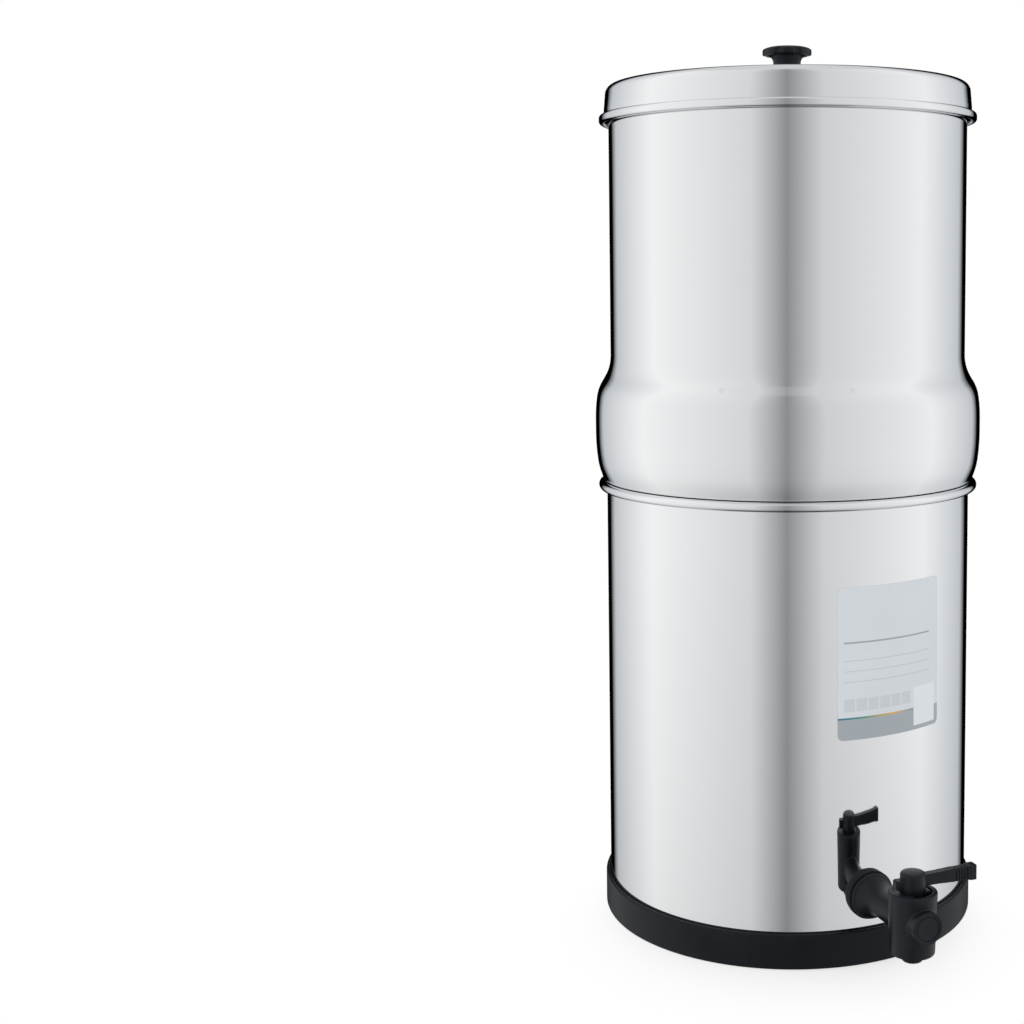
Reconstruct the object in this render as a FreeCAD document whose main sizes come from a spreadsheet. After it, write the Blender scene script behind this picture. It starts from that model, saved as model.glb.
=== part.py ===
"""Gravity water filter with tap: two nested steel chambers on a rubber ring, filter
candles through the upper floor, a knobbed lid and a quarter-turn plug tap.

Millimetres, +Z up. The origin is the centre of the base, on the surface the filter
stands on. The tap points along -Y.
"""
import FreeCAD, Part
import math
import os
import Sketcher

SIZE_TABLE = [
    ("sheet", 0.8, "thickness of the steel sheet"),
    ("seat_gap", 0.3, "space left between a seated piece and its seat"),
    ("running_gap", 0.05, "radial clearance of a turning fit"),
    ("snug_gap", 0.02, "radial clearance of a pressed or screwed fit"),
    ("hole_gap", 0.25, "radial clearance of a shank in a sheet hole"),

    ("chamber_radius", 120.0, "outside of the lower chamber wall"),
    ("chamber_lift", 6.0, "underside of the lower floor above the ground"),
    ("chamber_corner", 9.0, "outside rounding of the lower floor"),
    ("chamber_rim", 288.0, "top of the lower rolled rim"),
    ("chamber_bead", 3.1, "outside radius of the lower rolled rim"),

    ("foot_height", 22.0, "height of the base ring"),
    ("foot_wall", 3.0, "wall of the base ring"),
    ("foot_gap", 0.1, "space between base ring and chamber"),
    ("foot_ledge", 14.0, "width of the ledge under the floor"),
    ("foot_round", 1.5, "rounding of the base ring's edges"),

    ("collar_gap", 0.9, "space between collar and lower wall"),
    ("collar_depth", 16.0, "reach of the collar below the lower rim"),
    ("collar_corner", 8.0, "outside rounding of the upper floor"),
    ("step_fillet", 2.1, "hollow corner over the collar"),
    ("step_corner", 2.0, "rounded corner that sits on the lower rim"),
    ("step_inset", 1.7, "from the rim's middle in to that corner's middle"),
    ("step_angle", 70.0, "slope of the side above that corner"),
    ("bulge_proud", 7.2, "the widest band stands out past the lower wall"),
    ("bulge_turn", 8.0, "turn of the gentle arcs beside the widest band"),
    ("bulge_low_round", 40.0, "arc under the bulge"),
    ("bulge_rise_round", 130.0, "gentle arc up to the widest band"),
    ("bulge_band", 9.5, "height of the widest band"),
    ("bulge_fall_round", 100.0, "gentle arc above the widest band"),
    ("shoulder_round", 26.0, "convex arc of the shoulder"),
    ("shoulder_slope", 31.0, "steepest lean of the shoulder"),
    ("shoulder_hollow", 28.0, "hollow arc of the shoulder"),
    ("wall_inset", 3.0, "from the lower wall in to the upper wall"),
    ("wall_height", 251.3, "from the lower rim up to the middle of the upper hem"),
    ("hem_radius", 0.9, "outside radius of the upper hem"),

    ("lid_gap", 0.3, "space between the lid and the upper hem"),
    ("lid_corner", 5.2, "inside rounding of the lid's edge"),
    ("lid_crown", 2.5, "slope of the crowned lid at its edge"),
    ("lid_flare", 4.7, "lean of the lid's side"),
    ("lid_side", 10.2, "length of the leaning side"),
    ("lid_ease", 10.0, "arc between leaning side and skirt"),
    ("lid_skirt", 4.4, "upright skirt above the lid's rolled edge"),
    ("lid_bead", 2.05, "outside radius of the lid's rolled edge"),
    ("lid_hole", 3.3, "radius of the screw hole in the lid"),

    ("knob_height", 22.3, "knob from its foot to its top"),
    ("knob_foot", 10.0, "radius of the knob's foot"),
    ("knob_stem", 9.0, "radius of the knob's stem"),
    ("knob_disc", 16.05, "radius of the knob's disc"),
    ("knob_disc_height", 5.2, "thickness of the disc with its crown"),
    ("knob_crown", 2.4, "height of the crown above the disc's edge"),
    ("knob_flat", 9.5, "radius of the flat top"),
    ("knob_lobes", 8, "grip hollows round the disc"),
    ("knob_hollow", 5.5, "radius of each grip hollow"),
    ("knob_hollow_depth", 1.1, "depth of each grip hollow"),
    ("knob_throat", 4.8, "hollow arc from the stem out to the disc"),
    ("knob_lip", 0.5, "rounding of the disc's lower edge"),
    ("knob_brow", 1.2, "rounding of the disc's upper edge"),
    ("knob_dome", 13.0, "arc from that edge up to the flat top"),
    ("insert_radius", 4.0, "outside of the brass insert"),
    ("insert_length", 12.0, "length of the brass insert"),
    ("screw_radius", 3.0, "radius of the knob screw's thread"),
    ("screw_reach", 9.0, "thread inside the knob"),
    ("screw_head_radius", 5.8, "radius of the knob screw's head"),
    ("screw_head_height", 3.6, "height of the knob screw's head"),
    ("screw_head_round", 2.4, "rounding of the knob screw's head"),
    ("screw_slot_width", 1.4, "width of the cross recess"),
    ("screw_slot_length", 6.0, "length of the cross recess"),
    ("screw_slot_depth", 1.8, "depth of the cross recess"),
    ("disc_washer_radius", 8.0, "outside of the knob washer"),
    ("disc_washer_height", 1.2, "thickness of the knob washer"),

    ("station_radius", 58.0, "from the axis to a hole in the upper floor"),
    ("station_hole", 5.4, "radius of a hole in the upper floor"),
    ("candle_radius", 25.4, "outside of a filter candle"),
    ("candle_height", 170.0, "candle above its mount's foot"),
    ("candle_shell", 8.0, "wall of the ceramic shell"),
    ("candle_socket", 9.0, "depth of the mount's cup"),
    ("candle_core_gap", 0.4, "space round the carbon core"),
    ("mount_wall", 1.6, "wall of the mount's cup"),
    ("mount_floor", 4.0, "floor of the mount's cup"),
    ("stem_radius", 5.0, "thread radius of a stem or plug"),
    ("stem_bore", 2.5, "water passage through a stem"),
    ("stem_length", 36.0, "stem below the upper floor"),
    ("seal_radius", 12.0, "outside of a sealing washer"),
    ("seal_height", 2.5, "thickness of a sealing washer"),
    ("wing_hub", 8.0, "radius of the wing nut's hub"),
    ("wing_hub_height", 9.0, "height of the wing nut's hub"),
    ("wing_reach", 17.0, "from the axis to a wing's tip"),
    ("wing_height", 12.0, "height of a wing"),
    ("wing_width", 3.0, "thickness of a wing"),
    ("wing_count", 2, "wings on a nut"),
    ("wing_tip", 3.0, "rounding of a wing's tip"),
    ("wing_shoulder", 1.0, "drop and set-back of a wing's upper edge"),
    ("stopper_head", 12.0, "radius of a stopper's head"),
    ("stopper_head_height", 5.0, "height of a stopper's head"),
    ("stopper_round", 1.5, "rounding of a stopper's head"),
    ("stopper_length", 16.0, "stopper below the upper floor"),
    ("stopper_nut_flats", 17.0, "across the flats of a stopper's nut"),
    ("stopper_nut_height", 6.0, "height of a stopper's nut"),

    ("tap_stand", 54.2, "from the lower wall out to the middle of the barrel"),
    ("tap_level", 43.6, "height of the tap's water passage"),
    ("barrel_above", 21.8, "barrel above the water passage"),
    ("barrel_below", 15.6, "barrel below the water passage"),
    ("barrel_top_radius", 14.6, "barrel radius at its top"),
    ("barrel_bottom_radius", 13.3, "barrel radius at its bottom"),
    ("barrel_round", 1.0, "rounding of the barrel's edges"),
    ("barrel_floor", 3.0, "floor under the plug"),
    ("nozzle_radius", 6.0, "outside of the outlet nozzle"),
    ("nozzle_length", 4.7, "outlet nozzle below the barrel"),
    ("flow_radius", 4.5, "radius of the water passage"),
    ("neck_radius", 8.2, "radius of the neck"),
    ("trumpet_length", 14.0, "length of the flared neck"),
    ("trumpet_radius", 13.0, "radius where the flare meets the flange"),
    ("trumpet_round", 22.8, "arc of the flare"),
    ("flange_radius", 14.0, "radius of the flange"),
    ("flange_width", 3.0, "thickness of the flange"),
    ("washer_radius", 15.0, "outside of the outer washer"),
    ("washer_width", 3.0, "thickness of the outer washer"),
    ("shank_radius", 8.0, "thread radius of the shank"),
    ("inner_washer_radius", 13.0, "outside of the inner washer"),
    ("inner_washer_width", 3.0, "thickness of the inner washer"),
    ("nut_flats", 24.0, "across the flats of the tap nut"),
    ("nut_width", 8.0, "thickness of the tap nut"),
    ("shank_spare", 3.5, "shank that shows past the nut"),
    ("boss_radius", 9.7, "radius of the round boss on the barrel"),
    ("boss_rise", 5.2, "boss's middle above the water passage"),
    ("boss_reach", 18.6, "from the barrel's axis to the boss's face"),
    ("badge_radius", 8.4, "radius of the plain badge"),
    ("badge_width", 0.8, "thickness of the plain badge"),

    ("plug_radius", 9.0, "radius of the valve plug"),
    ("plug_cavity", 5.2, "height of the drum's cavity over the passage"),
    ("plug_stem", 5.0, "radius of the plug's stem"),
    ("ring_section", 1.0, "section radius of an O-ring"),
    ("ring_land", 3.7, "from the passage's edge to an O-ring's middle"),
    ("bonnet_radius", 11.4, "outside of the bonnet"),
    ("bonnet_drop", 3.2, "bonnet's floor below the barrel's top"),
    ("bonnet_height", 3.2, "thickness of the bonnet's floor"),
    ("land_drop", 0.2, "stop land below the barrel's top"),
    ("lever_swing", 90.0, "turn of the lever from closed to open"),
    ("stop_play", 2.0, "angle left between lug and land at a limit"),
    ("lug_half", 25.0, "half of the stop lug's angle"),
    ("lug_radius", 10.6, "reach of the stop lug"),
    ("hub_radius", 7.5, "radius of the lever's hub"),
    ("hub_rise", 11.8, "top of the lever's hub above the barrel"),
    ("hub_crown", 0.8, "rise of the hub's crowned top"),
    ("hub_round", 1.8, "rounding of the hub's top edge"),
    ("drive_flats", 6.4, "across the square drive"),
    ("drive_length", 9.5, "length of the square drive"),
    ("lever_rise", 5.7, "lever's middle above the barrel's top"),
    ("lever_root", 6.6, "height of the lever at the hub"),
    ("lever_end", 8.6, "height of the lever at its bulb"),
    ("lever_width", 5.4, "thickness of the lever"),
    ("lever_bulb", 5.1, "radius of the bulb at the lever's end"),
    ("bulb_width", 6.4, "thickness of the bulb"),
    ("lever_length", 42.0, "from the hub's axis to the lever's tip"),
    ("grip_count", 5, "grooves of the grip"),
    ("grip_pitch", 2.2, "step from groove to groove"),
    ("grip_width", 0.8, "width of a groove"),
    ("grip_depth", 0.5, "depth of a groove"),
    ("grip_inset", 3.2, "from the bulb's middle back to the first groove"),
    ("tail_length", 12.5, "reach of the short tail"),
    ("tail_height", 5.6, "height of the short tail"),
    ("tail_round", 2.0, "rounding of the tail's end"),

    ("label_turn", 8.2, "label's middle, turned from the tap towards +X"),
    ("label_tilt", 2.1, "slant of the label"),
    ("label_level", 188.5, "height of the label's middle"),
    ("label_width", 77.0, "width of the label along the wall"),
    ("label_height", 94.0, "height of the label"),
    ("label_corner", 6.0, "rounding of the label's corners"),
    ("label_film", 0.25, "thickness of the label"),
]

document = FreeCAD.newDocument("GravityFilter")
sheet = document.addObject("Spreadsheet::Sheet", "Sizes")


class Size:
    """A length or an angle that carries its value and its expression on the sheet."""

    def __init__(self, value, text):
        self.value = value
        self.text = text

    def __add__(self, other):
        other = as_size(other)
        return Size(self.value + other.value, f"({self.text} + {other.text})")

    def __sub__(self, other):
        other = as_size(other)
        return Size(self.value - other.value, f"({self.text} - {other.text})")

    def __mul__(self, other):
        other = as_size(other)
        return Size(self.value * other.value, f"({self.text} * {other.text})")

    def __truediv__(self, other):
        other = as_size(other)
        return Size(self.value / other.value, f"({self.text} / {other.text})")

    def __neg__(self):
        return Size(-self.value, f"(0 - {self.text})")

    __radd__ = __add__
    __rmul__ = __mul__

    def __rsub__(self, other):
        return as_size(other) - self


def as_size(number):
    return number if isinstance(number, Size) else Size(float(number), f"({float(number)!r})")


def sine(angle):
    angle = as_size(angle)
    return Size(math.sin(math.radians(angle.value)), f"sin({angle.text} * 1 deg)")


def cosine(angle):
    angle = as_size(angle)
    return Size(math.cos(math.radians(angle.value)), f"cos({angle.text} * 1 deg)")


def root(number):
    return Size(math.sqrt(number.value), f"sqrt({number.text})")


class Sizes:
    """The cells of the sheet by name."""

    def __init__(self):
        for row, (name, value, note) in enumerate(SIZE_TABLE, start=1):
            sheet.set(f"A{row}", name)
            sheet.set(f"B{row}", str(value))
            sheet.set(f"C{row}", note)
            sheet.setAlias(f"B{row}", name)
            setattr(self, name, Size(float(value), f"Sizes.{name}"))


size = Sizes()
document.recompute()


def new_body(name):
    body = document.addObject("PartDesign::Body", name)
    body.Label = name
    return body


def origin_item(body, role):
    """One of the body's own origin planes or axes."""
    return next(item for item in body.Origin.OriginFeatures if item.Role == role)


def new_sketch(body, role, level=None):
    """A sketch on one of the body's own origin planes, raised by level along its normal."""
    sketch = body.newObject("Sketcher::SketchObject", "Sketch")
    sketch.AttachmentSupport = [(origin_item(body, role), "")]
    sketch.MapMode = "FlatFace"
    if level is not None:
        sketch.AttachmentOffset = FreeCAD.Placement(FreeCAD.Vector(0, 0, level.value), FreeCAD.Rotation())
        sketch.setExpression("AttachmentOffset.Base.z", level.text)
    return sketch


def pin_point(sketch, geometry, end, across, up):
    """Holds one end of an edge at its place, both coordinates bound to the sheet."""
    for coordinate, kind, axis in ((across, "DistanceX", -2), (up, "DistanceY", -1)):
        coordinate = as_size(coordinate)
        if abs(coordinate.value) < 1e-9:
            sketch.addConstraint(Sketcher.Constraint("PointOnObject", geometry, end, axis))
            continue
        index = sketch.addConstraint(Sketcher.Constraint(kind, -1, 1, geometry, end, coordinate.value))
        sketch.setExpression(f"Constraints[{index}]", coordinate.text)


def arc_between(start, end, radius, turns_left):
    """The shorter arc from start to end, and the number of the end that is its start."""
    chord = end - start
    middle = (start + end) * 0.5
    rise = math.sqrt(max(radius ** 2 - (chord.Length / 2) ** 2, 0.0))
    side = FreeCAD.Vector(-chord.y, chord.x, 0) / chord.Length
    centre = middle + side * (rise if turns_left else -rise)
    first, last = (start, end) if turns_left else (end, start)
    angles = [math.atan2(point.y - centre.y, point.x - centre.x) for point in (first, last)]
    if angles[1] < angles[0]:
        angles[1] += 2 * math.pi
    circle = Part.Circle(centre, FreeCAD.Vector(0, 0, 1), radius)
    return Part.ArcOfCircle(circle, angles[0], angles[1]), (1 if turns_left else 2)


def draw_loop(sketch, corners):
    """A closed outline. A corner is (across, up) or (across, up, radius, turns_left), where
    the radius is of the arc to the next corner."""
    places = [FreeCAD.Vector(as_size(corner[0]).value, as_size(corner[1]).value, 0) for corner in corners]
    edges = []
    for number, corner in enumerate(corners):
        start = places[number]
        end = places[(number + 1) % len(corners)]
        start_end = 1
        if len(corner) == 2:
            geometry = sketch.addGeometry(Part.LineSegment(start, end), False)
        else:
            radius = as_size(corner[2])
            arc, start_end = arc_between(start, end, radius.value, corner[3])
            geometry = sketch.addGeometry(arc, False)
            index = sketch.addConstraint(Sketcher.Constraint("Radius", geometry, radius.value))
            sketch.setExpression(f"Constraints[{index}]", radius.text)
        edges.append((geometry, start_end, 3 - start_end))
    for number, (geometry, start_end, far_end) in enumerate(edges):
        following = edges[(number + 1) % len(edges)]
        sketch.addConstraint(Sketcher.Constraint("Coincident", geometry, far_end, following[0], following[1]))
        pin_point(sketch, geometry, start_end, corners[number][0], corners[number][1])


def draw_circle(sketch, across, up, radius):
    across, up = as_size(across), as_size(up)
    centre = FreeCAD.Vector(across.value, up.value, 0)
    circle = Part.Circle(centre, FreeCAD.Vector(0, 0, 1), radius.value)
    geometry = sketch.addGeometry(circle, False)
    index = sketch.addConstraint(Sketcher.Constraint("Radius", geometry, radius.value))
    sketch.setExpression(f"Constraints[{index}]", radius.text)
    pin_point(sketch, geometry, 3, across, up)


def revolve(body, sketch, axis="V_Axis", cut=False):
    kind = "PartDesign::Groove" if cut else "PartDesign::Revolution"
    feature = body.newObject(kind, "Turned")
    feature.Profile = sketch
    feature.ReferenceAxis = (sketch, [axis])
    feature.Angle = 360.0
    document.recompute()
    return feature


def pad(body, sketch, length, cut=False, backwards=False, both_ways=False):
    kind = "PartDesign::Pocket" if cut else "PartDesign::Pad"
    feature = body.newObject(kind, "Run")
    feature.Profile = sketch
    length = as_size(length)
    feature.Length = length.value
    feature.setExpression("Length", length.text)
    feature.Reversed = backwards
    feature.Midplane = both_ways
    document.recompute()
    return feature


def repeat(body, kind, feature, role, count):
    """A row along, or a ring around, one of the body's own axes."""
    pattern = body.newObject(f"PartDesign::{kind}Pattern", "Repeated")
    pattern.Originals = [feature]
    axis = "Axis" if kind == "Polar" else "Direction"
    setattr(pattern, axis, (origin_item(body, role), [""]))
    count = as_size(count)
    pattern.Occurrences = int(count.value)
    pattern.setExpression("Occurrences", count.text)
    body.Tip = pattern
    document.recompute()
    return pattern


def place(piece, across=0, along=0, up=0):
    """Moves a piece to its place, bound to the sheet."""
    for axis, distance in (("x", across), ("y", along), ("z", up)):
        piece.setExpression(f"Placement.Base.{axis}", as_size(distance).text)
    document.recompute()
    return piece


class SheetPath:
    """A line along one face of a metal sheet, with every joint tangent. The sheet lies on
    the left of the line."""

    def __init__(self, across, up, heading):
        self.across = as_size(across)
        self.up = as_size(up)
        self.heading = as_size(heading)
        self.stops = [(self.across, self.up, self.heading)]
        self.moves = []

    def line(self, length):
        self.across = self.across + length * cosine(self.heading)
        self.up = self.up + length * sine(self.heading)
        self.stops.append((self.across, self.up, self.heading))
        self.moves.append(None)

    def arc(self, radius, turn):
        """Turns left by a positive angle, right by a negative one."""
        turn = as_size(turn)
        side = 1 if turn.value > 0 else -1
        after = self.heading + turn
        self.across = self.across + radius * (sine(after) - sine(self.heading)) * side
        self.up = self.up + radius * (cosine(self.heading) - cosine(after)) * side
        self.heading = after
        self.stops.append((self.across, self.up, self.heading))
        self.moves.append((as_size(radius), side))

    def outline(self, thickness):
        """The closed outline of the sheet: out along the line, back along its other face."""
        near = []
        far = []
        for across, up, heading in self.stops:
            near.append((across, up))
            far.append((across - thickness * sine(heading), up + thickness * cosine(heading)))
        far[0] = (Size(0.0, "0"), far[0][1])
        corners = []
        for place_on_line, move in zip(near, self.moves + [None]):
            corners.append(place_on_line + (() if move is None else (move[0], move[1] > 0)))
        for number in range(len(far) - 1, -1, -1):
            move = self.moves[number - 1] if number > 0 else None
            bend = () if move is None else (move[0] - thickness * move[1], move[1] < 0)
            corners.append(far[number] + bend)
        return corners


def turned_piece(name, corners):
    body = new_body(name)
    sketch = new_sketch(body, "XZ_Plane")
    draw_loop(sketch, corners)
    revolve(body, sketch)
    return body


def tube_corners(inner, outer, bottom, top):
    return [(inner, bottom), (outer, bottom), (outer, top), (inner, top)]


def group(name, pieces):
    """Identical pieces in one node, each still a solid of its own."""
    compound = document.addObject("Part::Compound", name)
    compound.Label = name
    compound.Links = pieces
    document.recompute()
    return compound


# Places that several pieces share
bead_middle_up = size.chamber_rim - size.chamber_bead
chamber_inside = size.chamber_radius - size.sheet
bead_middle_across = chamber_inside + size.chamber_bead
collar_radius = chamber_inside - size.collar_gap
upper_floor_under = size.chamber_rim - size.collar_depth
upper_floor_top = upper_floor_under + size.sheet
hem_middle_across = size.chamber_radius - size.wall_inset - size.sheet + size.hem_radius
lid_inside = hem_middle_across + size.hem_radius + size.lid_gap
lid_side_heading = size.lid_flare - 90
barrel_bore = size.plug_radius + size.running_gap
bulge_radius = size.chamber_radius + size.bulge_proud
wall_radius = size.chamber_radius - size.wall_inset
wall_rim = size.chamber_rim + size.wall_height
tap_reach = size.chamber_radius + size.tap_stand
barrel_top = size.tap_level + size.barrel_above
barrel_bottom = size.tap_level - size.barrel_below
nozzle_bottom = barrel_bottom - size.nozzle_length
bonnet_top = barrel_top - size.bonnet_drop
bonnet_bottom = bonnet_top - size.bonnet_height
land_top = barrel_top - size.land_drop
stem_up = bonnet_top + size.seat_gap
drive_top = stem_up + size.drive_length
ring_spread = size.flow_radius + size.ring_land
ring_levels = (size.tap_level - ring_spread, size.tap_level + ring_spread)


def make_base_ring():
    outside = size.chamber_radius + size.foot_gap + size.foot_wall
    inside = size.chamber_radius + size.foot_gap
    corner = size.chamber_corner + size.foot_gap
    ledge_up = size.chamber_lift - size.foot_gap
    ledge_edge = inside - corner
    edge = size.foot_round
    return turned_piece("base_ring", [
        (inside - size.foot_ledge, 0),
        (outside - edge, 0, edge, True),
        (outside, edge),
        (outside, size.foot_height - edge, edge, True),
        (outside - edge, size.foot_height),
        (inside, size.foot_height),
        (inside, ledge_up + corner, corner, False),
        (ledge_edge, ledge_up),
        (inside - size.foot_ledge, ledge_up),
    ])


def make_lower_chamber():
    path = SheetPath(0, size.chamber_lift, 0)
    path.line(size.chamber_radius - size.chamber_corner)
    path.arc(size.chamber_corner, 90)
    path.line(bead_middle_up - size.chamber_lift - size.chamber_corner)
    for _ in range(2):
        path.arc(size.chamber_bead - size.sheet, -120)
    body = turned_piece("lower_chamber", path.outline(size.sheet))
    hole = new_sketch(body, "XZ_Plane")
    draw_circle(hole, 0, size.tap_level, size.shank_radius + size.hole_gap)
    pad(body, hole, size.chamber_radius * 1.1, cut=True, backwards=True)
    return body


def upper_path():
    seat_distance = size.chamber_bead + size.step_corner + size.seat_gap
    step_middle_up = bead_middle_up + root(seat_distance * seat_distance - size.step_inset * size.step_inset)
    step_middle_across = bead_middle_across - size.step_inset
    step_up = step_middle_up - size.step_corner
    low_turn = 90 - size.bulge_turn - size.step_angle
    path = SheetPath(0, upper_floor_under, 0)
    path.line(collar_radius - size.collar_corner)
    path.arc(size.collar_corner, 90)
    path.line(step_up - size.step_fillet - upper_floor_under - size.collar_corner)
    path.arc(size.step_fillet, -90)
    path.line(step_middle_across - collar_radius - size.step_fillet)
    path.arc(size.step_corner, size.step_angle)
    before_bulge = 90 - size.bulge_turn
    low_gain = size.bulge_low_round * (sine(before_bulge) - sine(size.step_angle))
    rise_gain = size.bulge_rise_round * (1 - sine(before_bulge))
    path.line((bulge_radius - path.across - low_gain - rise_gain) / cosine(size.step_angle))
    path.arc(size.bulge_low_round, low_turn)
    path.arc(size.bulge_rise_round, size.bulge_turn)
    path.line(size.bulge_band)
    path.arc(size.bulge_fall_round, size.bulge_turn)
    path.arc(size.shoulder_round, size.shoulder_slope - size.bulge_turn)
    hollow_loss = size.shoulder_hollow * (1 - cosine(size.shoulder_slope))
    path.line((path.across - hollow_loss - wall_radius) / sine(size.shoulder_slope))
    path.arc(size.shoulder_hollow, -size.shoulder_slope)
    path.line(wall_rim - path.up)
    for _ in range(2):
        path.arc(size.hem_radius - size.sheet, -85)
    return path


def station(number):
    """Place of one of the four holes in the upper floor."""
    angle = 45 + 90 * number
    return size.station_radius * cosine(angle), size.station_radius * sine(angle)


def make_upper_chamber():
    body = turned_piece("upper_chamber", upper_path().outline(size.sheet))
    holes = new_sketch(body, "XY_Plane", upper_floor_under - size.sheet)
    for number in range(4):
        across, along = station(number)
        draw_circle(holes, across, along, size.station_hole)
    pad(body, holes, size.sheet * 3, cut=True, backwards=True)
    return body


def lid_path():
    corner_gain = size.lid_corner * (cosine(size.lid_flare) - sine(size.lid_crown))
    crown_edge = lid_inside - corner_gain
    crown_round = crown_edge / sine(size.lid_crown)
    crown_rise = crown_round * (1 - cosine(size.lid_crown))
    crown_up = wall_rim + size.lid_corner * cosine(size.lid_crown) + crown_rise
    path = SheetPath(0, crown_up, 0)
    path.arc(crown_round, -size.lid_crown)
    path.arc(size.lid_corner, size.lid_crown + lid_side_heading)
    path.line(size.lid_side)
    path.arc(size.lid_ease, -size.lid_flare)
    path.line(size.lid_skirt)
    for _ in range(2):
        path.arc(size.lid_bead, 120)
    return path


lid_crown_up = lid_path().stops[0][1]
lid_top = lid_crown_up + size.sheet
knob_foot_up = lid_top + size.seat_gap


def make_lid():
    body = turned_piece("lid", lid_path().outline(size.sheet))
    hole = new_sketch(body, "XY_Plane", lid_crown_up - size.sheet)
    draw_circle(hole, 0, 0, size.lid_hole)
    pad(body, hole, size.sheet * 3, cut=True, backwards=True)
    return body


def make_lid_knob():
    top = size.knob_height
    disc_under = top - size.knob_disc_height
    edge_up = top - size.knob_crown
    throat = size.knob_throat
    lip = size.knob_lip
    brow = size.knob_brow
    brow_angle = 55
    brow_across = size.knob_disc - brow * (1 - cosine(brow_angle))
    body = turned_piece("lid_knob", [
        (0, size.insert_length + size.snug_gap),
        (size.insert_radius + size.snug_gap, size.insert_length + size.snug_gap),
        (size.insert_radius + size.snug_gap, 0),
        (size.knob_foot, 0),
        (size.knob_stem, size.knob_height / 3),
        (size.knob_stem, disc_under - throat, throat, False),
        (size.knob_stem + throat, disc_under),
        (size.knob_disc - lip, disc_under, lip, True),
        (size.knob_disc, disc_under + lip),
        (size.knob_disc, edge_up, brow, True),
        (brow_across, edge_up + brow * sine(brow_angle), size.knob_dome, True),
        (size.knob_flat, top),
        (0, top),
    ])
    hollow = new_sketch(body, "XY_Plane", disc_under - throat)
    distance = size.knob_disc + size.knob_hollow - size.knob_hollow_depth
    draw_circle(hollow, distance * cosine(-90), distance * sine(-90), size.knob_hollow)
    cut = pad(body, hollow, size.knob_height, cut=True, backwards=True)
    repeat(body, "Polar", cut, "Z_Axis", size.knob_lobes)
    return place(body, up=knob_foot_up)


def make_knob_insert():
    body = turned_piece("knob_insert", tube_corners(
        size.screw_radius + size.snug_gap, size.insert_radius, 0, size.insert_length))
    return place(body, up=knob_foot_up)


def make_knob_screw():
    under = lid_crown_up - size.disc_washer_height
    head = size.screw_head_height
    body = turned_piece("knob_screw", [
        (0, under - head),
        (size.screw_head_radius - size.screw_head_round, under - head, size.screw_head_round, True),
        (size.screw_head_radius, under - head + size.screw_head_round),
        (size.screw_head_radius, under),
        (size.screw_radius, under),
        (size.screw_radius, knob_foot_up + size.screw_reach),
        (0, knob_foot_up + size.screw_reach),
    ])
    cross = new_sketch(body, "XY_Plane", under - head)
    arm = size.screw_slot_length / 2
    half = size.screw_slot_width / 2
    draw_loop(cross, [
        (-arm, -half), (-half, -half), (-half, -arm), (half, -arm), (half, -half), (arm, -half),
        (arm, half), (half, half), (half, arm), (-half, arm), (-half, half), (-arm, half),
    ])
    pad(body, cross, size.screw_slot_depth, cut=True, backwards=True)
    return body


def make_knob_washer():
    return turned_piece("knob_washer", tube_corners(
        size.screw_radius + size.hole_gap, size.disc_washer_radius,
        lid_crown_up - size.disc_washer_height, lid_crown_up - size.snug_gap))


def make_candle(number, where):
    """One filter candle: threaded mount, ceramic shell and carbon core."""
    across, along = station(where)
    foot = upper_floor_top + size.seal_height
    cup = size.candle_radius + size.snug_gap
    mount = turned_piece(f"candle_mount_{number}", [
        (size.stem_bore, -(size.seal_height + size.sheet + size.stem_length)),
        (size.stem_radius, -(size.seal_height + size.sheet + size.stem_length)),
        (size.stem_radius, 0),
        (cup + size.mount_wall, 0),
        (cup + size.mount_wall, size.mount_floor + size.candle_socket),
        (cup, size.mount_floor + size.candle_socket),
        (cup, size.mount_floor),
        (size.stem_bore, size.mount_floor),
    ])
    shell_inside = size.candle_radius - size.candle_shell
    dome_outside = size.candle_height - size.candle_radius
    shell = turned_piece(f"candle_shell_{number}", [
        (shell_inside, size.mount_floor + size.snug_gap),
        (size.candle_radius, size.mount_floor + size.snug_gap),
        (size.candle_radius, dome_outside, size.candle_radius, True),
        (0, size.candle_height),
        (0, size.candle_height - size.candle_shell, shell_inside, False),
        (shell_inside, dome_outside),
    ])
    core_radius = shell_inside - size.candle_core_gap
    core = turned_piece(f"candle_core_{number}", [
        (0, size.mount_floor + size.seat_gap),
        (core_radius, size.mount_floor + size.seat_gap),
        (core_radius, dome_outside, core_radius, True),
        (0, dome_outside + core_radius),
    ])
    return [place(piece, across, along, foot) for piece in (mount, shell, core)]


def at_stations(name, numbers, make_one, up):
    pieces = []
    for number in numbers:
        across, along = station(number)
        pieces.append(place(make_one(f"{name}_{number}"), across, along, up))
    return group(name, pieces)


def seal_ring(name):
    bore = size.stem_radius + size.snug_gap
    return turned_piece(name, tube_corners(bore, size.seal_radius, 0, size.seal_height))


def hex_corners(flats):
    across_corners = flats / math.sqrt(3)
    return [(across_corners * cosine(60 * corner), across_corners * sine(60 * corner)) for corner in range(6)]


def hex_nut(name, flats, height, bore, role="XY_Plane"):
    body = new_body(name)
    sketch = new_sketch(body, role)
    draw_loop(sketch, hex_corners(flats))
    draw_circle(sketch, 0, 0, bore)
    pad(body, sketch, height)
    return body


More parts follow.
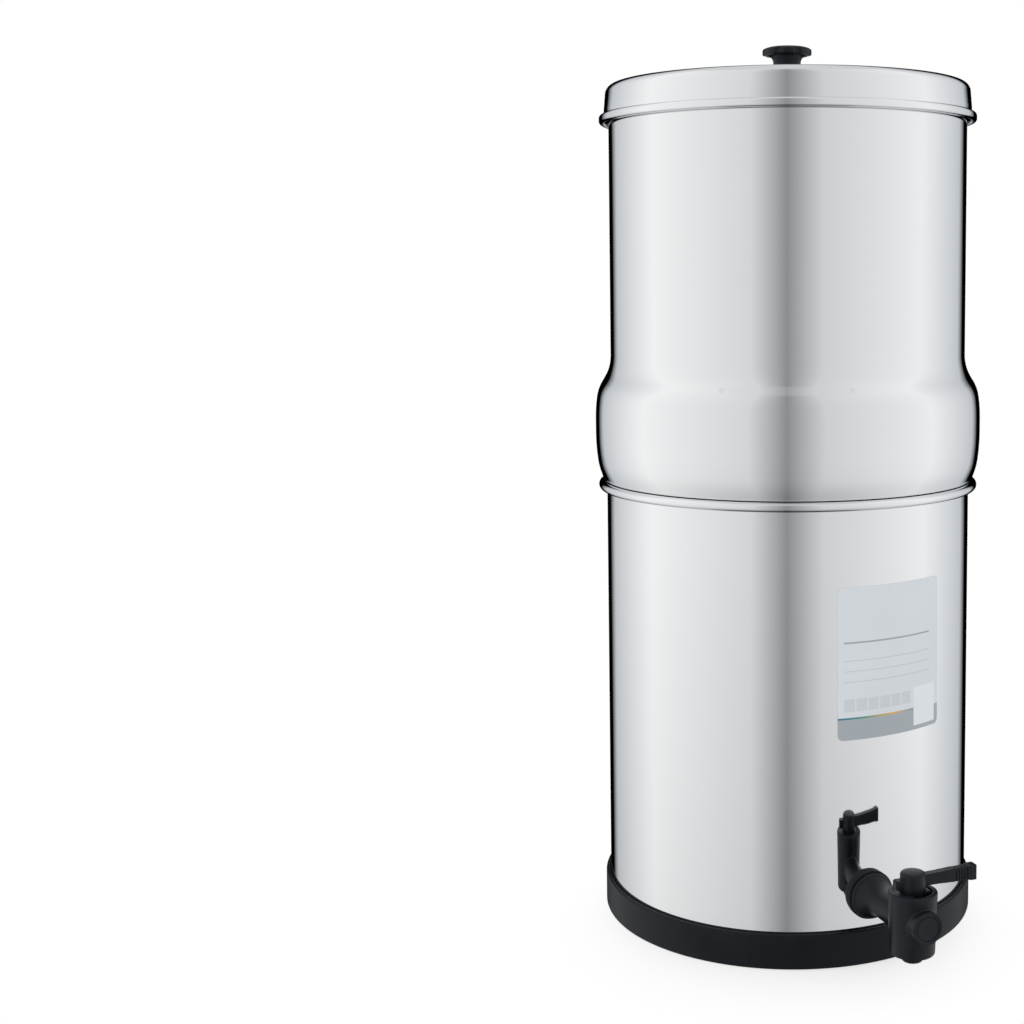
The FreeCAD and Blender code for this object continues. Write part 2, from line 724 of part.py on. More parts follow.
def wing_nut(name):
    """Hub with two upright wings, hanging under the floor with its seat on top."""
    body = turned_piece(name, tube_corners(
        size.stem_radius + size.snug_gap, size.wing_hub, -size.wing_hub_height, 0))
    wing = new_sketch(body, "XZ_Plane")
    inner = (size.wing_hub + size.stem_radius) / 2
    low = -size.wing_height
    tip = size.wing_tip
    draw_loop(wing, [
        (inner, size.wing_shoulder - size.wing_hub_height),
        (size.wing_reach - tip, low, tip, True),
        (size.wing_reach, low + tip),
        (size.wing_reach - size.wing_shoulder, low / 2),
        (inner, -size.wing_shoulder),
    ])
    blade = pad(body, wing, size.wing_width, both_ways=True)
    repeat(body, "Polar", blade, "Z_Axis", size.wing_count)
    return body


def stopper(name):
    edge = size.stopper_round
    height = size.stopper_head_height
    return turned_piece(name, [
        (0, -(size.seal_height + size.sheet + size.stopper_length)),
        (size.stem_radius, -(size.seal_height + size.sheet + size.stopper_length)),
        (size.stem_radius, 0),
        (size.stopper_head, 0),
        (size.stopper_head, height - edge, edge, True),
        (size.stopper_head - edge, height),
        (0, height),
    ])


def stopper_nut(name):
    return hex_nut(name, size.stopper_nut_flats, size.stopper_nut_height, size.stem_radius + size.snug_gap)


def make_tap_body():
    """Local origin where the barrel's axis crosses the water passage."""
    body = new_body("tap_body")
    top = barrel_top - size.tap_level
    bottom = barrel_bottom - size.tap_level
    edge = size.barrel_round
    barrel = new_sketch(body, "XZ_Plane")
    draw_loop(barrel, [
        (0, nozzle_bottom - size.tap_level),
        (size.nozzle_radius, nozzle_bottom - size.tap_level),
        (size.nozzle_radius, bottom),
        (size.barrel_bottom_radius - edge, bottom, edge, True),
        (size.barrel_bottom_radius, bottom + edge),
        (size.barrel_top_radius, top - edge, edge, True),
        (size.barrel_top_radius - edge, top),
        (0, top),
    ])
    revolve(body, barrel)
    wall = tap_reach - size.chamber_radius
    flange_back = wall - size.washer_width
    flange_front = flange_back - size.flange_width
    shank_end = wall + size.sheet + size.inner_washer_width + size.nut_width + size.shank_spare
    neck = new_sketch(body, "YZ_Plane")
    draw_loop(neck, [
        (0, 0), (shank_end, 0), (shank_end, size.shank_radius), (flange_back, size.shank_radius),
        (flange_back, size.flange_radius), (flange_front, size.flange_radius),
        (flange_front, size.trumpet_radius, size.trumpet_round, False),
        (flange_front - size.trumpet_length, size.neck_radius), (0, size.neck_radius),
    ])
    revolve(body, neck, "H_Axis")
    boss = new_sketch(body, "XZ_Plane")
    draw_circle(boss, 0, size.boss_rise, size.boss_radius)
    pad(body, boss, size.boss_reach)
    bore = new_sketch(body, "XZ_Plane")
    mouth = nozzle_bottom - size.tap_level - 1
    draw_loop(bore, [
        (0, mouth), (size.flow_radius, mouth),
        (size.flow_radius, bottom + size.barrel_floor), (barrel_bore, bottom + size.barrel_floor),
        (barrel_bore, bonnet_bottom - size.tap_level),
        (size.bonnet_radius + size.snug_gap, bonnet_bottom - size.tap_level),
        (size.bonnet_radius + size.snug_gap, top + 1), (0, top + 1),
    ])
    revolve(body, bore, cut=True)
    passage = new_sketch(body, "YZ_Plane")
    draw_loop(passage, [(0, 0), (shank_end + 1, 0), (shank_end + 1, size.flow_radius), (0, size.flow_radius)])
    revolve(body, passage, "H_Axis", cut=True)
    recess = new_sketch(body, "XZ_Plane", size.boss_reach - size.badge_width)
    draw_circle(recess, 0, size.boss_rise, size.badge_radius + size.snug_gap)
    pad(body, recess, size.badge_width * 2, cut=True, backwards=True)
    return place(body, along=-tap_reach, up=size.tap_level)


def make_tap_badge():
    body = new_body("tap_badge")
    face = new_sketch(body, "XZ_Plane", tap_reach + size.boss_reach - size.badge_width)
    draw_circle(face, 0, size.tap_level + size.boss_rise, size.badge_radius)
    pad(body, face, size.badge_width)
    return body


def part_cylinder(name, radius, height, along=None, up=0):
    """A plain cylinder: upright, or lying along +Y from the given start."""
    cylinder = document.addObject("Part::Cylinder", name)
    for field, value in (("Radius", radius), ("Height", as_size(height))):
        setattr(cylinder, field, value.value)
        cylinder.setExpression(field, value.text)
    if along is not None:
        cylinder.Placement = FreeCAD.Placement(
            FreeCAD.Vector(0, 0, 0), FreeCAD.Rotation(FreeCAD.Vector(1, 0, 0), -90))
    return place(cylinder, along=0 if along is None else along, up=up)


def boolean(kind, name, base, tool):
    feature = document.addObject(kind, name)
    feature.Base = base
    feature.Tool = tool
    document.recompute()
    return feature


def make_tap_washers():
    """The outer washer is shaped to the round wall outside, the inner one inside."""
    bore = size.shank_radius + size.snug_gap
    tall = size.tap_level + size.washer_radius * 2
    outer = part_cylinder("outer_disc", size.washer_radius, size.washer_width * 2,
                          -(size.chamber_radius + size.washer_width), size.tap_level)
    outer_hole = part_cylinder("outer_bore", bore, size.washer_width * 4,
                               -(size.chamber_radius + size.washer_width * 2), size.tap_level)
    chamber = part_cylinder("chamber_outside", size.chamber_radius + size.snug_gap, tall)
    outer_ring = boolean("Part::Cut", "outer_ring", outer, outer_hole)
    outer_washer = boolean("Part::Cut", "tap_outer_washer", outer_ring, chamber)
    inner = part_cylinder("inner_disc", size.inner_washer_radius, size.inner_washer_width,
                          -chamber_inside, size.tap_level)
    inner_hole = part_cylinder("inner_bore", bore, size.inner_washer_width * 2,
                               -(chamber_inside + size.inner_washer_width / 2), size.tap_level)
    hollow = part_cylinder("chamber_inside", chamber_inside - size.snug_gap, tall)
    inner_ring = boolean("Part::Cut", "inner_ring", inner, inner_hole)
    inner_washer = boolean("Part::Common", "tap_inner_washer", inner_ring, hollow)
    return [outer_washer, inner_washer]


def make_tap_nut():
    body = hex_nut("tap_nut", size.nut_flats, size.nut_width, size.shank_radius + size.snug_gap, "XZ_Plane")
    inner_end = chamber_inside - size.inner_washer_width - size.nut_width
    return place(body, along=-inner_end, up=size.tap_level)


def sector_corners(inner, outer, start, sweep, steps):
    """A part of a flat ring, its arcs cut into steps shorter than a half turn."""
    corners = []
    for step in range(steps):
        angle = start + sweep * (step / steps)
        corners.append((outer * cosine(angle), outer * sine(angle), outer, True))
    end = start + sweep
    corners.append((outer * cosine(end), outer * sine(end)))
    for step in range(steps):
        angle = end - sweep * (step / steps)
        corners.append((inner * cosine(angle), inner * sine(angle), inner, False))
    corners.append((inner * cosine(start), inner * sine(start)))
    return corners


def make_tap_bonnet():
    """Ring that holds the plug down, with the raised land that stops the lever."""
    stem_bore = size.plug_stem + size.running_gap
    body = turned_piece("tap_bonnet", tube_corners(
        stem_bore, size.bonnet_radius, bonnet_bottom, bonnet_top))
    first = size.lug_half + size.stop_play
    sweep = 360 - size.lever_swing - first * 2
    land = new_sketch(body, "XY_Plane", bonnet_top)
    inside = size.hub_radius + size.seat_gap
    draw_loop(land, sector_corners(inside, size.bonnet_radius, first, sweep, 3))
    pad(body, land, land_top - bonnet_top)
    return place(body, along=-tap_reach)


def make_tap_plug():
    """Drum with an open foot and one side window, a stem and a square drive."""
    foot = barrel_bottom + size.barrel_floor + size.seat_gap
    groove = size.ring_section * 2 + size.running_gap
    half = size.ring_section + size.running_gap
    drum_top = bonnet_bottom - size.seat_gap
    corners = [
        (size.flow_radius, foot),
        (size.plug_radius, foot),
    ]
    for level in ring_levels:
        corners += [
            (size.plug_radius, level - half),
            (size.plug_radius - groove, level - half),
            (size.plug_radius - groove, level + half),
            (size.plug_radius, level + half),
        ]
    corners += [
        (size.plug_radius, drum_top),
        (size.plug_stem, drum_top),
        (size.plug_stem, stem_up),
        (0, stem_up),
        (0, size.tap_level + size.plug_cavity),
        (size.flow_radius, size.tap_level + size.plug_cavity),
    ]
    body = turned_piece("tap_plug", corners)
    drive = new_sketch(body, "XY_Plane", stem_up)
    half_drive = size.drive_flats / 2
    draw_loop(drive, [(-half_drive, -half_drive), (half_drive, -half_drive),
                      (half_drive, half_drive), (-half_drive, half_drive)])
    pad(body, drive, drive_top - stem_up)
    window = new_sketch(body, "YZ_Plane")
    draw_circle(window, 0, size.tap_level, size.flow_radius)
    pad(body, window, size.plug_radius * 1.5, cut=True)
    return place(body, along=-tap_reach)


def make_plug_rings():
    rings = []
    for number, level in enumerate(ring_levels):
        torus = document.addObject("Part::Torus", f"plug_ring_{number}")
        middle = size.plug_radius - size.ring_section
        for field, value in (("Radius1", middle), ("Radius2", size.ring_section - size.snug_gap)):
            setattr(torus, field, value.value)
            torus.setExpression(field, value.text)
        rings.append(place(torus, along=-tap_reach, up=level))
    return group("plug_rings", rings)


def make_tap_lever():
    """Hub, long arm with a ribbed grip and a bulb, short tail and the stop lug."""
    hub_top = barrel_top + size.hub_rise
    lever_level = barrel_top + size.lever_rise
    shoulder = hub_top - size.hub_round - size.hub_crown
    crown_width = size.hub_radius - size.hub_round
    crown_arc = (crown_width * crown_width + size.hub_crown * size.hub_crown) / (size.hub_crown * 2)
    body = turned_piece("tap_lever", [
        (0, stem_up),
        (size.hub_radius, stem_up),
        (size.hub_radius, shoulder, size.hub_round, True),
        (crown_width, shoulder + size.hub_round, crown_arc, True),
        (0, hub_top),
    ])
    bulb_middle = size.lever_length - size.lever_bulb
    low = lever_level - size.lever_root / 2
    high = lever_level + size.lever_root / 2
    end_low = lever_level - size.lever_end / 2
    end_high = lever_level + size.lever_end / 2
    arm = new_sketch(body, "XZ_Plane")
    draw_loop(arm, [(0, low), (bulb_middle, end_low), (bulb_middle, end_high), (0, high)])
    pad(body, arm, size.lever_width, both_ways=True)
    bulb = new_sketch(body, "XZ_Plane")
    draw_circle(bulb, bulb_middle, lever_level, size.lever_bulb)
    pad(body, bulb, size.bulb_width, both_ways=True)
    tail = new_sketch(body, "XZ_Plane")
    tail_half = size.tail_height / 2
    draw_loop(tail, [
        (0, lever_level - tail_half), (0, lever_level + tail_half),
        (size.tail_round - size.tail_length, lever_level + tail_half, size.tail_round, True),
        (-size.tail_length, lever_level + tail_half - size.tail_round),
        (-size.tail_length, lever_level - tail_half + size.tail_round, size.tail_round, True),
        (size.tail_round - size.tail_length, lever_level - tail_half),
    ])
    pad(body, tail, size.lever_width, both_ways=True)
    groove = new_sketch(body, "XY_Plane", end_low)
    start = bulb_middle - size.grip_inset
    front = -(size.lever_width / 2)
    draw_loop(groove, [
        (start - size.grip_width, front - 1), (start, front - 1),
        (start, front + size.grip_depth), (start - size.grip_width, front + size.grip_depth),
    ])
    cut = pad(body, groove, size.lever_end, cut=True, backwards=True)
    row = repeat(body, "Linear", cut, "X_Axis", size.grip_count)
    row.Reversed = True
    row.setExpression("Length", ((size.grip_count - 1) * size.grip_pitch).text)
    lug = new_sketch(body, "XY_Plane", stem_up)
    draw_loop(lug, sector_corners(size.hub_radius - 1, size.lug_radius, -size.lug_half, size.lug_half * 2, 1))
    pad(body, lug, land_top - stem_up)
    socket = new_sketch(body, "XY_Plane", stem_up)
    half_drive = size.drive_flats / 2 + size.snug_gap
    draw_loop(socket, [(-half_drive, -half_drive), (half_drive, -half_drive),
                       (half_drive, half_drive), (-half_drive, half_drive)])
    pad(body, socket, drive_top + size.snug_gap - stem_up, cut=True, backwards=True)
    return place(body, along=-tap_reach)


def make_label():
    """A thin curved film: a rounded rectangle cut out of a sleeve round the wall."""
    width = size.label_width / 2
    height = size.label_height / 2
    corner = size.label_corner
    stamp = new_body("label_stamp")
    face = new_sketch(stamp, "XZ_Plane")
    draw_loop(face, [
        (corner - width, -height), (width - corner, -height, corner, True),
        (width, corner - height), (width, height - corner, corner, True),
        (width - corner, height), (corner - width, height, corner, True),
        (-width, height - corner), (-width, corner - height, corner, True),
    ])
    pad(stamp, face, size.chamber_radius * 1.2)
    tilt = FreeCAD.Rotation(FreeCAD.Vector(0, 1, 0), size.label_tilt.value)
    turn = FreeCAD.Rotation(FreeCAD.Vector(0, 0, 1), size.label_turn.value)
    stamp.Placement = FreeCAD.Placement(FreeCAD.Vector(0, 0, size.label_level.value), turn * tilt)
    place(stamp, up=size.label_level)
    low = size.label_level - size.label_height
    sleeve = part_cylinder("label_outside", size.chamber_radius + size.snug_gap + size.label_film,
                           size.label_height * 2, up=low)
    core = part_cylinder("label_inside", size.chamber_radius + size.snug_gap, size.label_height * 2, up=low)
    film = boolean("Part::Cut", "label_sleeve", sleeve, core)
    return boolean("Part::Common", "front_label", film, stamp)


parts = [make_base_ring(), make_lower_chamber(), make_upper_chamber(), make_lid(), make_lid_knob(),
         make_knob_insert(), make_knob_screw(), make_knob_washer()]
for candle_number, hole_number in enumerate((0, 2), start=1):
    parts += make_candle(candle_number, hole_number)
parts += [
    at_stations("candle_seals", (0, 2), seal_ring, upper_floor_top),
    at_stations("candle_wing_nuts", (0, 2), wing_nut, upper_floor_under),
    at_stations("stoppers", (1, 3), stopper, upper_floor_top + size.seal_height),
    at_stations("stopper_seals", (1, 3), seal_ring, upper_floor_top),
    at_stations("stopper_nuts", (1, 3), stopper_nut, upper_floor_under - size.stopper_nut_height),
    make_tap_body(), make_tap_badge(), make_tap_nut(), make_tap_bonnet(), make_tap_plug(),
    make_plug_rings(), make_tap_lever(), make_label(),
]
parts += make_tap_washers()
document.recompute()

for item in document.Objects:
    if "Invalid" in item.State or "Error" in item.State:
        raise RuntimeError(f"{item.Label} failed: {item.State}")
for item in parts:
    if item.Shape.isNull() or not item.Shape.isValid():
        raise RuntimeError(f"{item.Label} has no valid shape")

os.makedirs("parts", exist_ok=True)
for item in parts:
    item.Shape.exportStep(f"parts/{item.Label}.step")
    box = item.Shape.BoundBox
    print(f"{item.Label}: {len(item.Shape.Solids)} solids, {item.Shape.Volume:.1f} mm3, "
          f"z {box.ZMin:.1f} to {box.ZMax:.1f}")
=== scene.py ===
"""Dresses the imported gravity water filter: polished shells, moulded tap and knob, label, inner pieces, studio."""

import math

import bpy
from bpy.props import (
    FloatProperty,
    FloatVectorProperty,
    IntProperty,
    PointerProperty,
)
from mathutils import Matrix, Vector


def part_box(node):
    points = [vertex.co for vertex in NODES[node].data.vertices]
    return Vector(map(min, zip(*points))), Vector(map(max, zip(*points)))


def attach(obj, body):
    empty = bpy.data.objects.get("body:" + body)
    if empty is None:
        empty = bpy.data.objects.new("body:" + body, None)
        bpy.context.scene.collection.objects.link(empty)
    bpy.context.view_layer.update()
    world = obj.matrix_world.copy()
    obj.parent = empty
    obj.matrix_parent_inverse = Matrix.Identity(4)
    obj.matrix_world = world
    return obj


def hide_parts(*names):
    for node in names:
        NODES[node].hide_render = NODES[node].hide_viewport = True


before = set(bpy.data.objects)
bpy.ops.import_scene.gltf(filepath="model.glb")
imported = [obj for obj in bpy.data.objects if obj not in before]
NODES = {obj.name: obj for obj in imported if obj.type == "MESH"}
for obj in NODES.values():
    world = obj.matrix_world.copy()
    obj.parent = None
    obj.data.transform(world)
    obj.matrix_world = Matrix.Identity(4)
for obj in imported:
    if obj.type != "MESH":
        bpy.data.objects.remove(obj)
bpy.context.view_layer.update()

bl_info = {
    "name": "Gravity Water Filter",
    "version": (1, 0, 0),
    "blender": (4, 5, 0),
    "location": "3D View > Sidebar > Water Filter",
    "description": "Builds the shells, tap, knob, label and studio of a gravity water filter",
    "category": "Object",
}

MM = 0.001
tank_low, tank_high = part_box("lower_chamber")
upper_low, upper_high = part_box("upper_chamber")
_, lid_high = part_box("lid")
_, foot_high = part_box("base_ring")
badge_low, badge_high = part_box("tap_badge")
plug_low, plug_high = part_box("tap_plug")
tap_axis_y = (plug_low.y + plug_high.y) / 2
BEAD_OVERHANG = 5.4 * MM  # how far the tank's rolled rim stands out from its wall
SHANK_UP = 43.6 * MM  # height of the tap's shank through the tank's wall
DRILL_DEPTH = 10 * MM
WELD = 2e-6  # points closer than this are one point
BLUE_SHEEN = (0.80, 0.91, 1.0, 1)  # tint of the black pieces' shine


# ---------------------------------------------------------------- sizes and colours

class WATERFILTER_PG_shells(bpy.types.PropertyGroup):
    """Sizes of the spun steel shells."""

    tank_radius: FloatProperty(
        name="Tank radius", description="Outside radius of the lower tank's wall",
        default=tank_high.x - BEAD_OVERHANG, unit="LENGTH")
    sheet: FloatProperty(
        name="Sheet", description="Thickness of the steel sheet", default=0.8 * MM, unit="LENGTH")
    turn_steps: IntProperty(
        name="Steps round", description="Faces round each spun shell", default=192, min=48, max=256)
    arc_step: FloatProperty(
        name="Arc step", description="Largest turn between two points of a rounded profile",
        default=math.radians(9.0), subtype="ANGLE")
    wall_step: FloatProperty(
        name="Wall step", description="Largest height between two rings of a straight wall",
        default=16.0 * MM, unit="LENGTH")


class WATERFILTER_PG_fittings(bpy.types.PropertyGroup):
    """Sizes of the moulded fittings and the label."""

    mould_grain: FloatProperty(
        name="Mould grain", description="Mesh size of the moulded plastic pieces", default=0.44 * MM, unit="LENGTH")
    mould_rounding: IntProperty(
        name="Rounding", description="Smoothing passes that round a moulded piece's edges", default=6, min=0, max=20)
    label_width: FloatProperty(
        name="Label width", description="Width of the label along the wall", default=77.0 * MM, unit="LENGTH")
    label_height: FloatProperty(
        name="Label height", description="Height of the label", default=94.0 * MM, unit="LENGTH")
    label_corner: FloatProperty(
        name="Label corner", description="Rounding of the label's corners", default=3.2 * MM, unit="LENGTH")
    label_level: FloatProperty(
        name="Label level", description="Height of the label's middle", default=188.5 * MM, unit="LENGTH")
    label_turn: FloatProperty(
        name="Label turn", description="Label's middle, turned from the tap", default=math.radians(8.2),
        subtype="ANGLE")
    label_tilt: FloatProperty(
        name="Label tilt", description="Slant of the label on the wall", default=math.radians(-0.5), subtype="ANGLE")
    label_film: FloatProperty(
        name="Label film", description="Thickness of the label", default=0.25 * MM, unit="LENGTH")


class WATERFILTER_PG_finishes(bpy.types.PropertyGroup):
    """Colours of the finishes."""

    steel: FloatVectorProperty(
        name="Steel", description="Colour of the polished steel", default=(0.80, 0.805, 0.81),
        subtype="COLOR", min=0, max=1)
    steel_roughness: FloatProperty(
        name="Steel roughness", description="Blur of the steel's reflections", default=0.024, min=0, max=1,
        subtype="FACTOR")
    plastic: FloatVectorProperty(
        name="Plastic", description="Colour of the tap and the knob", default=(0.0062, 0.0072, 0.0088),
        subtype="COLOR", min=0, max=1)
    rubber: FloatVectorProperty(
        name="Rubber", description="Colour of the base ring", default=(0.0062, 0.0072, 0.0088),
        subtype="COLOR", min=0, max=1)
    white_plastic: FloatVectorProperty(
        name="White plastic", description="Colour of mounts, wing nuts and stoppers", default=(0.80, 0.80, 0.77),
        subtype="COLOR", min=0, max=1)
    ceramic: FloatVectorProperty(
        name="Ceramic", description="Colour of the candle shells", default=(0.80, 0.77, 0.70),
        subtype="COLOR", min=0, max=1)
    label: FloatVectorProperty(
        name="Label", description="Ground colour of the label", default=(0.71, 0.75, 0.79),
        subtype="COLOR", min=0, max=1)
    band: FloatVectorProperty(
        name="Label band", description="Colour of the label's lower band", default=(0.38, 0.42, 0.45),
        subtype="COLOR", min=0, max=1)


class WATERFILTER_PG_studio(bpy.types.PropertyGroup):
    """Camera, lamps and surroundings."""

    camera_turn: FloatProperty(
        name="Camera turn", description="Camera's place round the filter, from the tap's side",
        default=math.radians(-24.9), subtype="ANGLE")
    camera_distance: FloatProperty(
        name="Camera distance", description="From the filter's axis to the camera", default=1.06671, unit="LENGTH")
    camera_height: FloatProperty(
        name="Camera height", description="Camera above the table", default=0.42519, unit="LENGTH")
    camera_pitch: FloatProperty(
        name="Camera pitch", description="How far the camera looks down", default=0.09365, subtype="ANGLE")
    camera_yaw: FloatProperty(
        name="Camera yaw", description="How far the camera looks past the axis", default=-0.04188, subtype="ANGLE")
    camera_roll: FloatProperty(
        name="Camera roll", description="Camera's lean", default=-0.00362, subtype="ANGLE")
    lens: FloatProperty(
        name="Lens", description="Focal length in millimetres for a 36 mm wide picture", default=56.361)
    key_power: FloatProperty(
        name="Key lamp", description="Power of the large soft lamp, in watts", default=12.0)
    world_level: FloatProperty(
        name="Surroundings", description="Brightness of the surroundings on dull surfaces", default=0.72)


# ---------------------------------------------------------------- modelling helpers

def deselect():
    bpy.ops.object.select_all(action="DESELECT")


def pick(piece):
    """Makes the piece the only selected and the active object."""
    deselect()
    piece.select_set(True)
    bpy.context.view_layer.objects.active = piece


def finish_modifier(piece, kind, **settings):
    """Adds a modifier with these settings and applies it."""
    pick(piece)
    modifier = piece.modifiers.new(kind.title(), kind)
    for name, value in settings.items():
        setattr(modifier, name, value)
    bpy.ops.object.modifier_apply(modifier=modifier.name)


def walk(start, moves, arc_step, wall_step, heading=0.0):
    """Points of a profile: (length,) goes straight on and (radius, turn) along an arc, left turns positive."""
    x, z = start
    points = [(x, z)]
    for move in moves:
        if len(move) == 1:
            parts = max(1, math.ceil(move[0] / wall_step))
            for _ in range(parts):
                x += move[0] / parts * math.cos(heading)
                z += move[0] / parts * math.sin(heading)
                points.append((x, z))
        else:
            radius, turn = move[0], math.radians(move[1])
            parts = max(3, math.ceil(abs(turn) / arc_step))
            bend = turn / parts
            chord = 2 * radius * math.sin(abs(bend) / 2)
            for _ in range(parts):
                heading += bend / 2
                x += chord * math.cos(heading)
                z += chord * math.sin(heading)
                heading += bend / 2
                points.append((x, z))
    return points


def spin_profile(name, points, steps, middle=(0, 0, 0), axis=(0, 0, 1), crown=0):
    """Extrudes a line through the points and spins it round the axis.

    On an open shell, crown is 1 where the face on the axis looks along it, and -1 where it looks back.
    """
    deselect()
    bpy.ops.mesh.primitive_plane_add(size=MM, location=points[0])
    piece = bpy.context.active_object
    piece.name = piece.data.name = name
    bpy.ops.object.mode_set(mode="EDIT")
    bpy.ops.mesh.select_all(action="SELECT")
    bpy.ops.mesh.merge(type="CENTER")
    for last, point in zip(points, points[1:]):
        step = [b - a for a, b in zip(last, point)]
        bpy.ops.mesh.extrude_region_move(TRANSFORM_OT_translate={"value": step})
    bpy.ops.mesh.select_all(action="SELECT")
    bpy.ops.mesh.spin(steps=steps, angle=2 * math.pi, center=middle, axis=axis, use_auto_merge=True)
    bpy.ops.mesh.select_all(action="SELECT")
    bpy.ops.mesh.remove_doubles(threshold=WELD)
    bpy.ops.mesh.normals_make_consistent(inside=False)
    bpy.ops.object.mode_set(mode="OBJECT")
    bpy.ops.object.transform_apply(location=True, rotation=True, scale=True)
    if crown:
        start, along = Vector(middle), Vector(axis)
        on_axis = min(piece.data.polygons, key=lambda face: (face.center - start).cross(along).length)
        if crown * on_axis.normal.dot(along) < 0:
            bpy.ops.object.mode_set(mode="EDIT")
            bpy.ops.mesh.select_all(action="SELECT")
            bpy.ops.mesh.flip_normals()
            bpy.ops.object.mode_set(mode="OBJECT")
    return piece


def upright(profile):
    """Profile points (across, up) in metres as places in the XZ plane."""
    return [(x, 0.0, z) for x, z in profile]


def smooth(piece, degrees=35):
    pick(piece)
    bpy.ops.object.shade_smooth_by_angle(angle=math.radians(degrees))


def drill(piece, places, radius, depth, axis="Z"):
    """Cuts a round hole at each place, along Z or Y."""
    for place in places:
        deselect()
        turn = (0, 0, 0) if axis == "Z" else (math.pi / 2, 0, 0)
        bpy.ops.mesh.primitive_cylinder_add(
            vertices=64, radius=radius, depth=depth, location=place, rotation=turn)
        cutter = bpy.context.active_object
        finish_modifier(piece, "BOOLEAN", operation="DIFFERENCE", object=cutter, solver="EXACT")
        bpy.data.objects.remove(cutter)


def settle(piece, body, slot, material, *nodes):
    """Gives the piece its finish, lets it ride on its body and stand for its CAD nodes."""
    piece.data.materials.clear()
    piece.data.materials.append(bpy.data.materials[material])
    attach(piece, body)
    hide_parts(*nodes)


def copy_of(node, name):
    """A welded copy of a CAD node's mesh, as a new object."""
    deselect()
    mesh = NODES[node].data.copy()
    mesh.name = name
    piece = bpy.data.objects.new(name, mesh)
    bpy.context.scene.collection.objects.link(piece)
    pick(piece)
    bpy.ops.object.mode_set(mode="EDIT")
    bpy.ops.mesh.select_all(action="SELECT")
    bpy.ops.mesh.remove_doubles(threshold=WELD)
    bpy.ops.mesh.customdata_custom_splitnormals_clear()
    bpy.ops.object.mode_set(mode="OBJECT")
    return piece


# ---------------------------------------------------------------- materials

def add(tree, kind, **inputs):
    """Adds a shader node, sets its plain properties and its named or numbered sockets, and links node outputs."""
    node = tree.nodes.new(kind)
    node.location = (220 * (len(tree.nodes) % 8), -260 * (len(tree.nodes) // 8))
    for name, value in inputs.items():
        if name.startswith("set_"):
            setattr(node, name[4:], value)
            continue
        socket = node.inputs[int(name[1:])] if name[0] == "i" and name[1:].isdigit() else node.inputs[
            name.replace("_", " ")]
        if isinstance(value, bpy.types.NodeSocket):
            tree.links.new(value, socket)
        else:
            socket.default_value = value
    return node


def math_node(tree, operation, *values, clamp=False):
    return add(tree, "ShaderNodeMath", set_operation=operation, set_use_clamp=clamp,
               **{f"i{n}": value for n, value in enumerate(values)}).outputs[0]


def ramp(tree, source, *stops):
    """A colour ramp with (place, value or colour) stops."""
    node = add(tree, "ShaderNodeValToRGB", i0=source)
    elements = node.color_ramp.elements
    while len(elements) < len(stops):
        elements.new(0.5)
    for element, (place, value) in zip(elements, stops):
        element.position = place
        element.color = (*((value,) * 3 if isinstance(value, (int, float)) else value), 1)
    return node.outputs[0]


def mixed(tree, share, first, second):
    """Colour mix from first to second by share."""
    node = add(tree, "ShaderNodeMix", set_data_type="RGBA")
    for socket, value in ((node.inputs[0], share), (node.inputs[6], first), (node.inputs[7], second)):
        if isinstance(value, bpy.types.NodeSocket):
            tree.links.new(value, socket)
        else:
            socket.default_value = value if isinstance(value, (int, float)) else (*value[:3], 1)
    return node.outputs[2]


def new_group(name, inputs, outputs):
    """An empty shader node group with named float inputs (with defaults) and float outputs."""
    group = bpy.data.node_groups.new(name, "ShaderNodeTree")
    for label, value in inputs:
        socket = group.interface.new_socket(name=label, in_out="INPUT", socket_type="NodeSocketFloat")
        socket.default_value = value
    for label in outputs:
        group.interface.new_socket(name=label, in_out="OUTPUT", socket_type="NodeSocketFloat")
    ends = group.nodes.new("NodeGroupInput"), group.nodes.new("NodeGroupOutput")
    return group, ends[0].outputs, ends[1].inputs


def build_groups():
    """The effects that several finishes share."""
    if "Polish Lines" in bpy.data.node_groups:
        return
    # fine polish lines, drawn out along Z on walls
    group, given, result = new_group("Polish Lines", [("Across", 700.0), ("Along", 5.0)], ["Lines", "Cloud"])
    place = add(group, "ShaderNodeTexCoord").outputs["Object"]
    scale = add(group, "ShaderNodeCombineXYZ", X=given["Across"], Y=given["Across"], Z=given["Along"]).outputs[0]
    drawn = add(group, "ShaderNodeVectorMath", set_operation="MULTIPLY", i0=place, i1=scale).outputs[0]
    lines = add(group, "ShaderNodeTexNoise", Vector=drawn, Scale=1.0, Detail=3.0, Roughness=0.6).outputs[0]
    cloud = add(group, "ShaderNodeTexNoise", Vector=place, Scale=14.0, Detail=2.0, Roughness=0.5).outputs[0]
    group.links.new(lines, result["Lines"])
    group.links.new(cloud, result["Cloud"])
    # grain of a moulded or fired surface: fine height and soft patches
    group, given, result = new_group("Mould Grain", [("Fine", 2200.0), ("Patches", 60.0)], ["Height", "Patch"])
    place = add(group, "ShaderNodeTexCoord").outputs["Object"]
    fine = add(group, "ShaderNodeTexNoise", Vector=place, Scale=given["Fine"], Detail=3.0, Roughness=0.65).outputs[0]
    patch = add(group, "ShaderNodeTexNoise", Vector=place, Scale=given["Patches"], Detail=4.0,
                Roughness=0.55).outputs[0]
    group.links.new(fine, result["Height"])
    group.links.new(patch, result["Patch"])
    # rubbed edges, from how sharply the surface turns
    group, given, result = new_group("Edge Wear", [("Reach", 0.06)], ["Edge"])
    turn = add(group, "ShaderNodeNewGeometry").outputs["Pointiness"]
    above = math_node(group, "SUBTRACT", turn, 0.5)
    group.links.new(math_node(group, "DIVIDE", above, given["Reach"], clamp=True), result["Edge"])


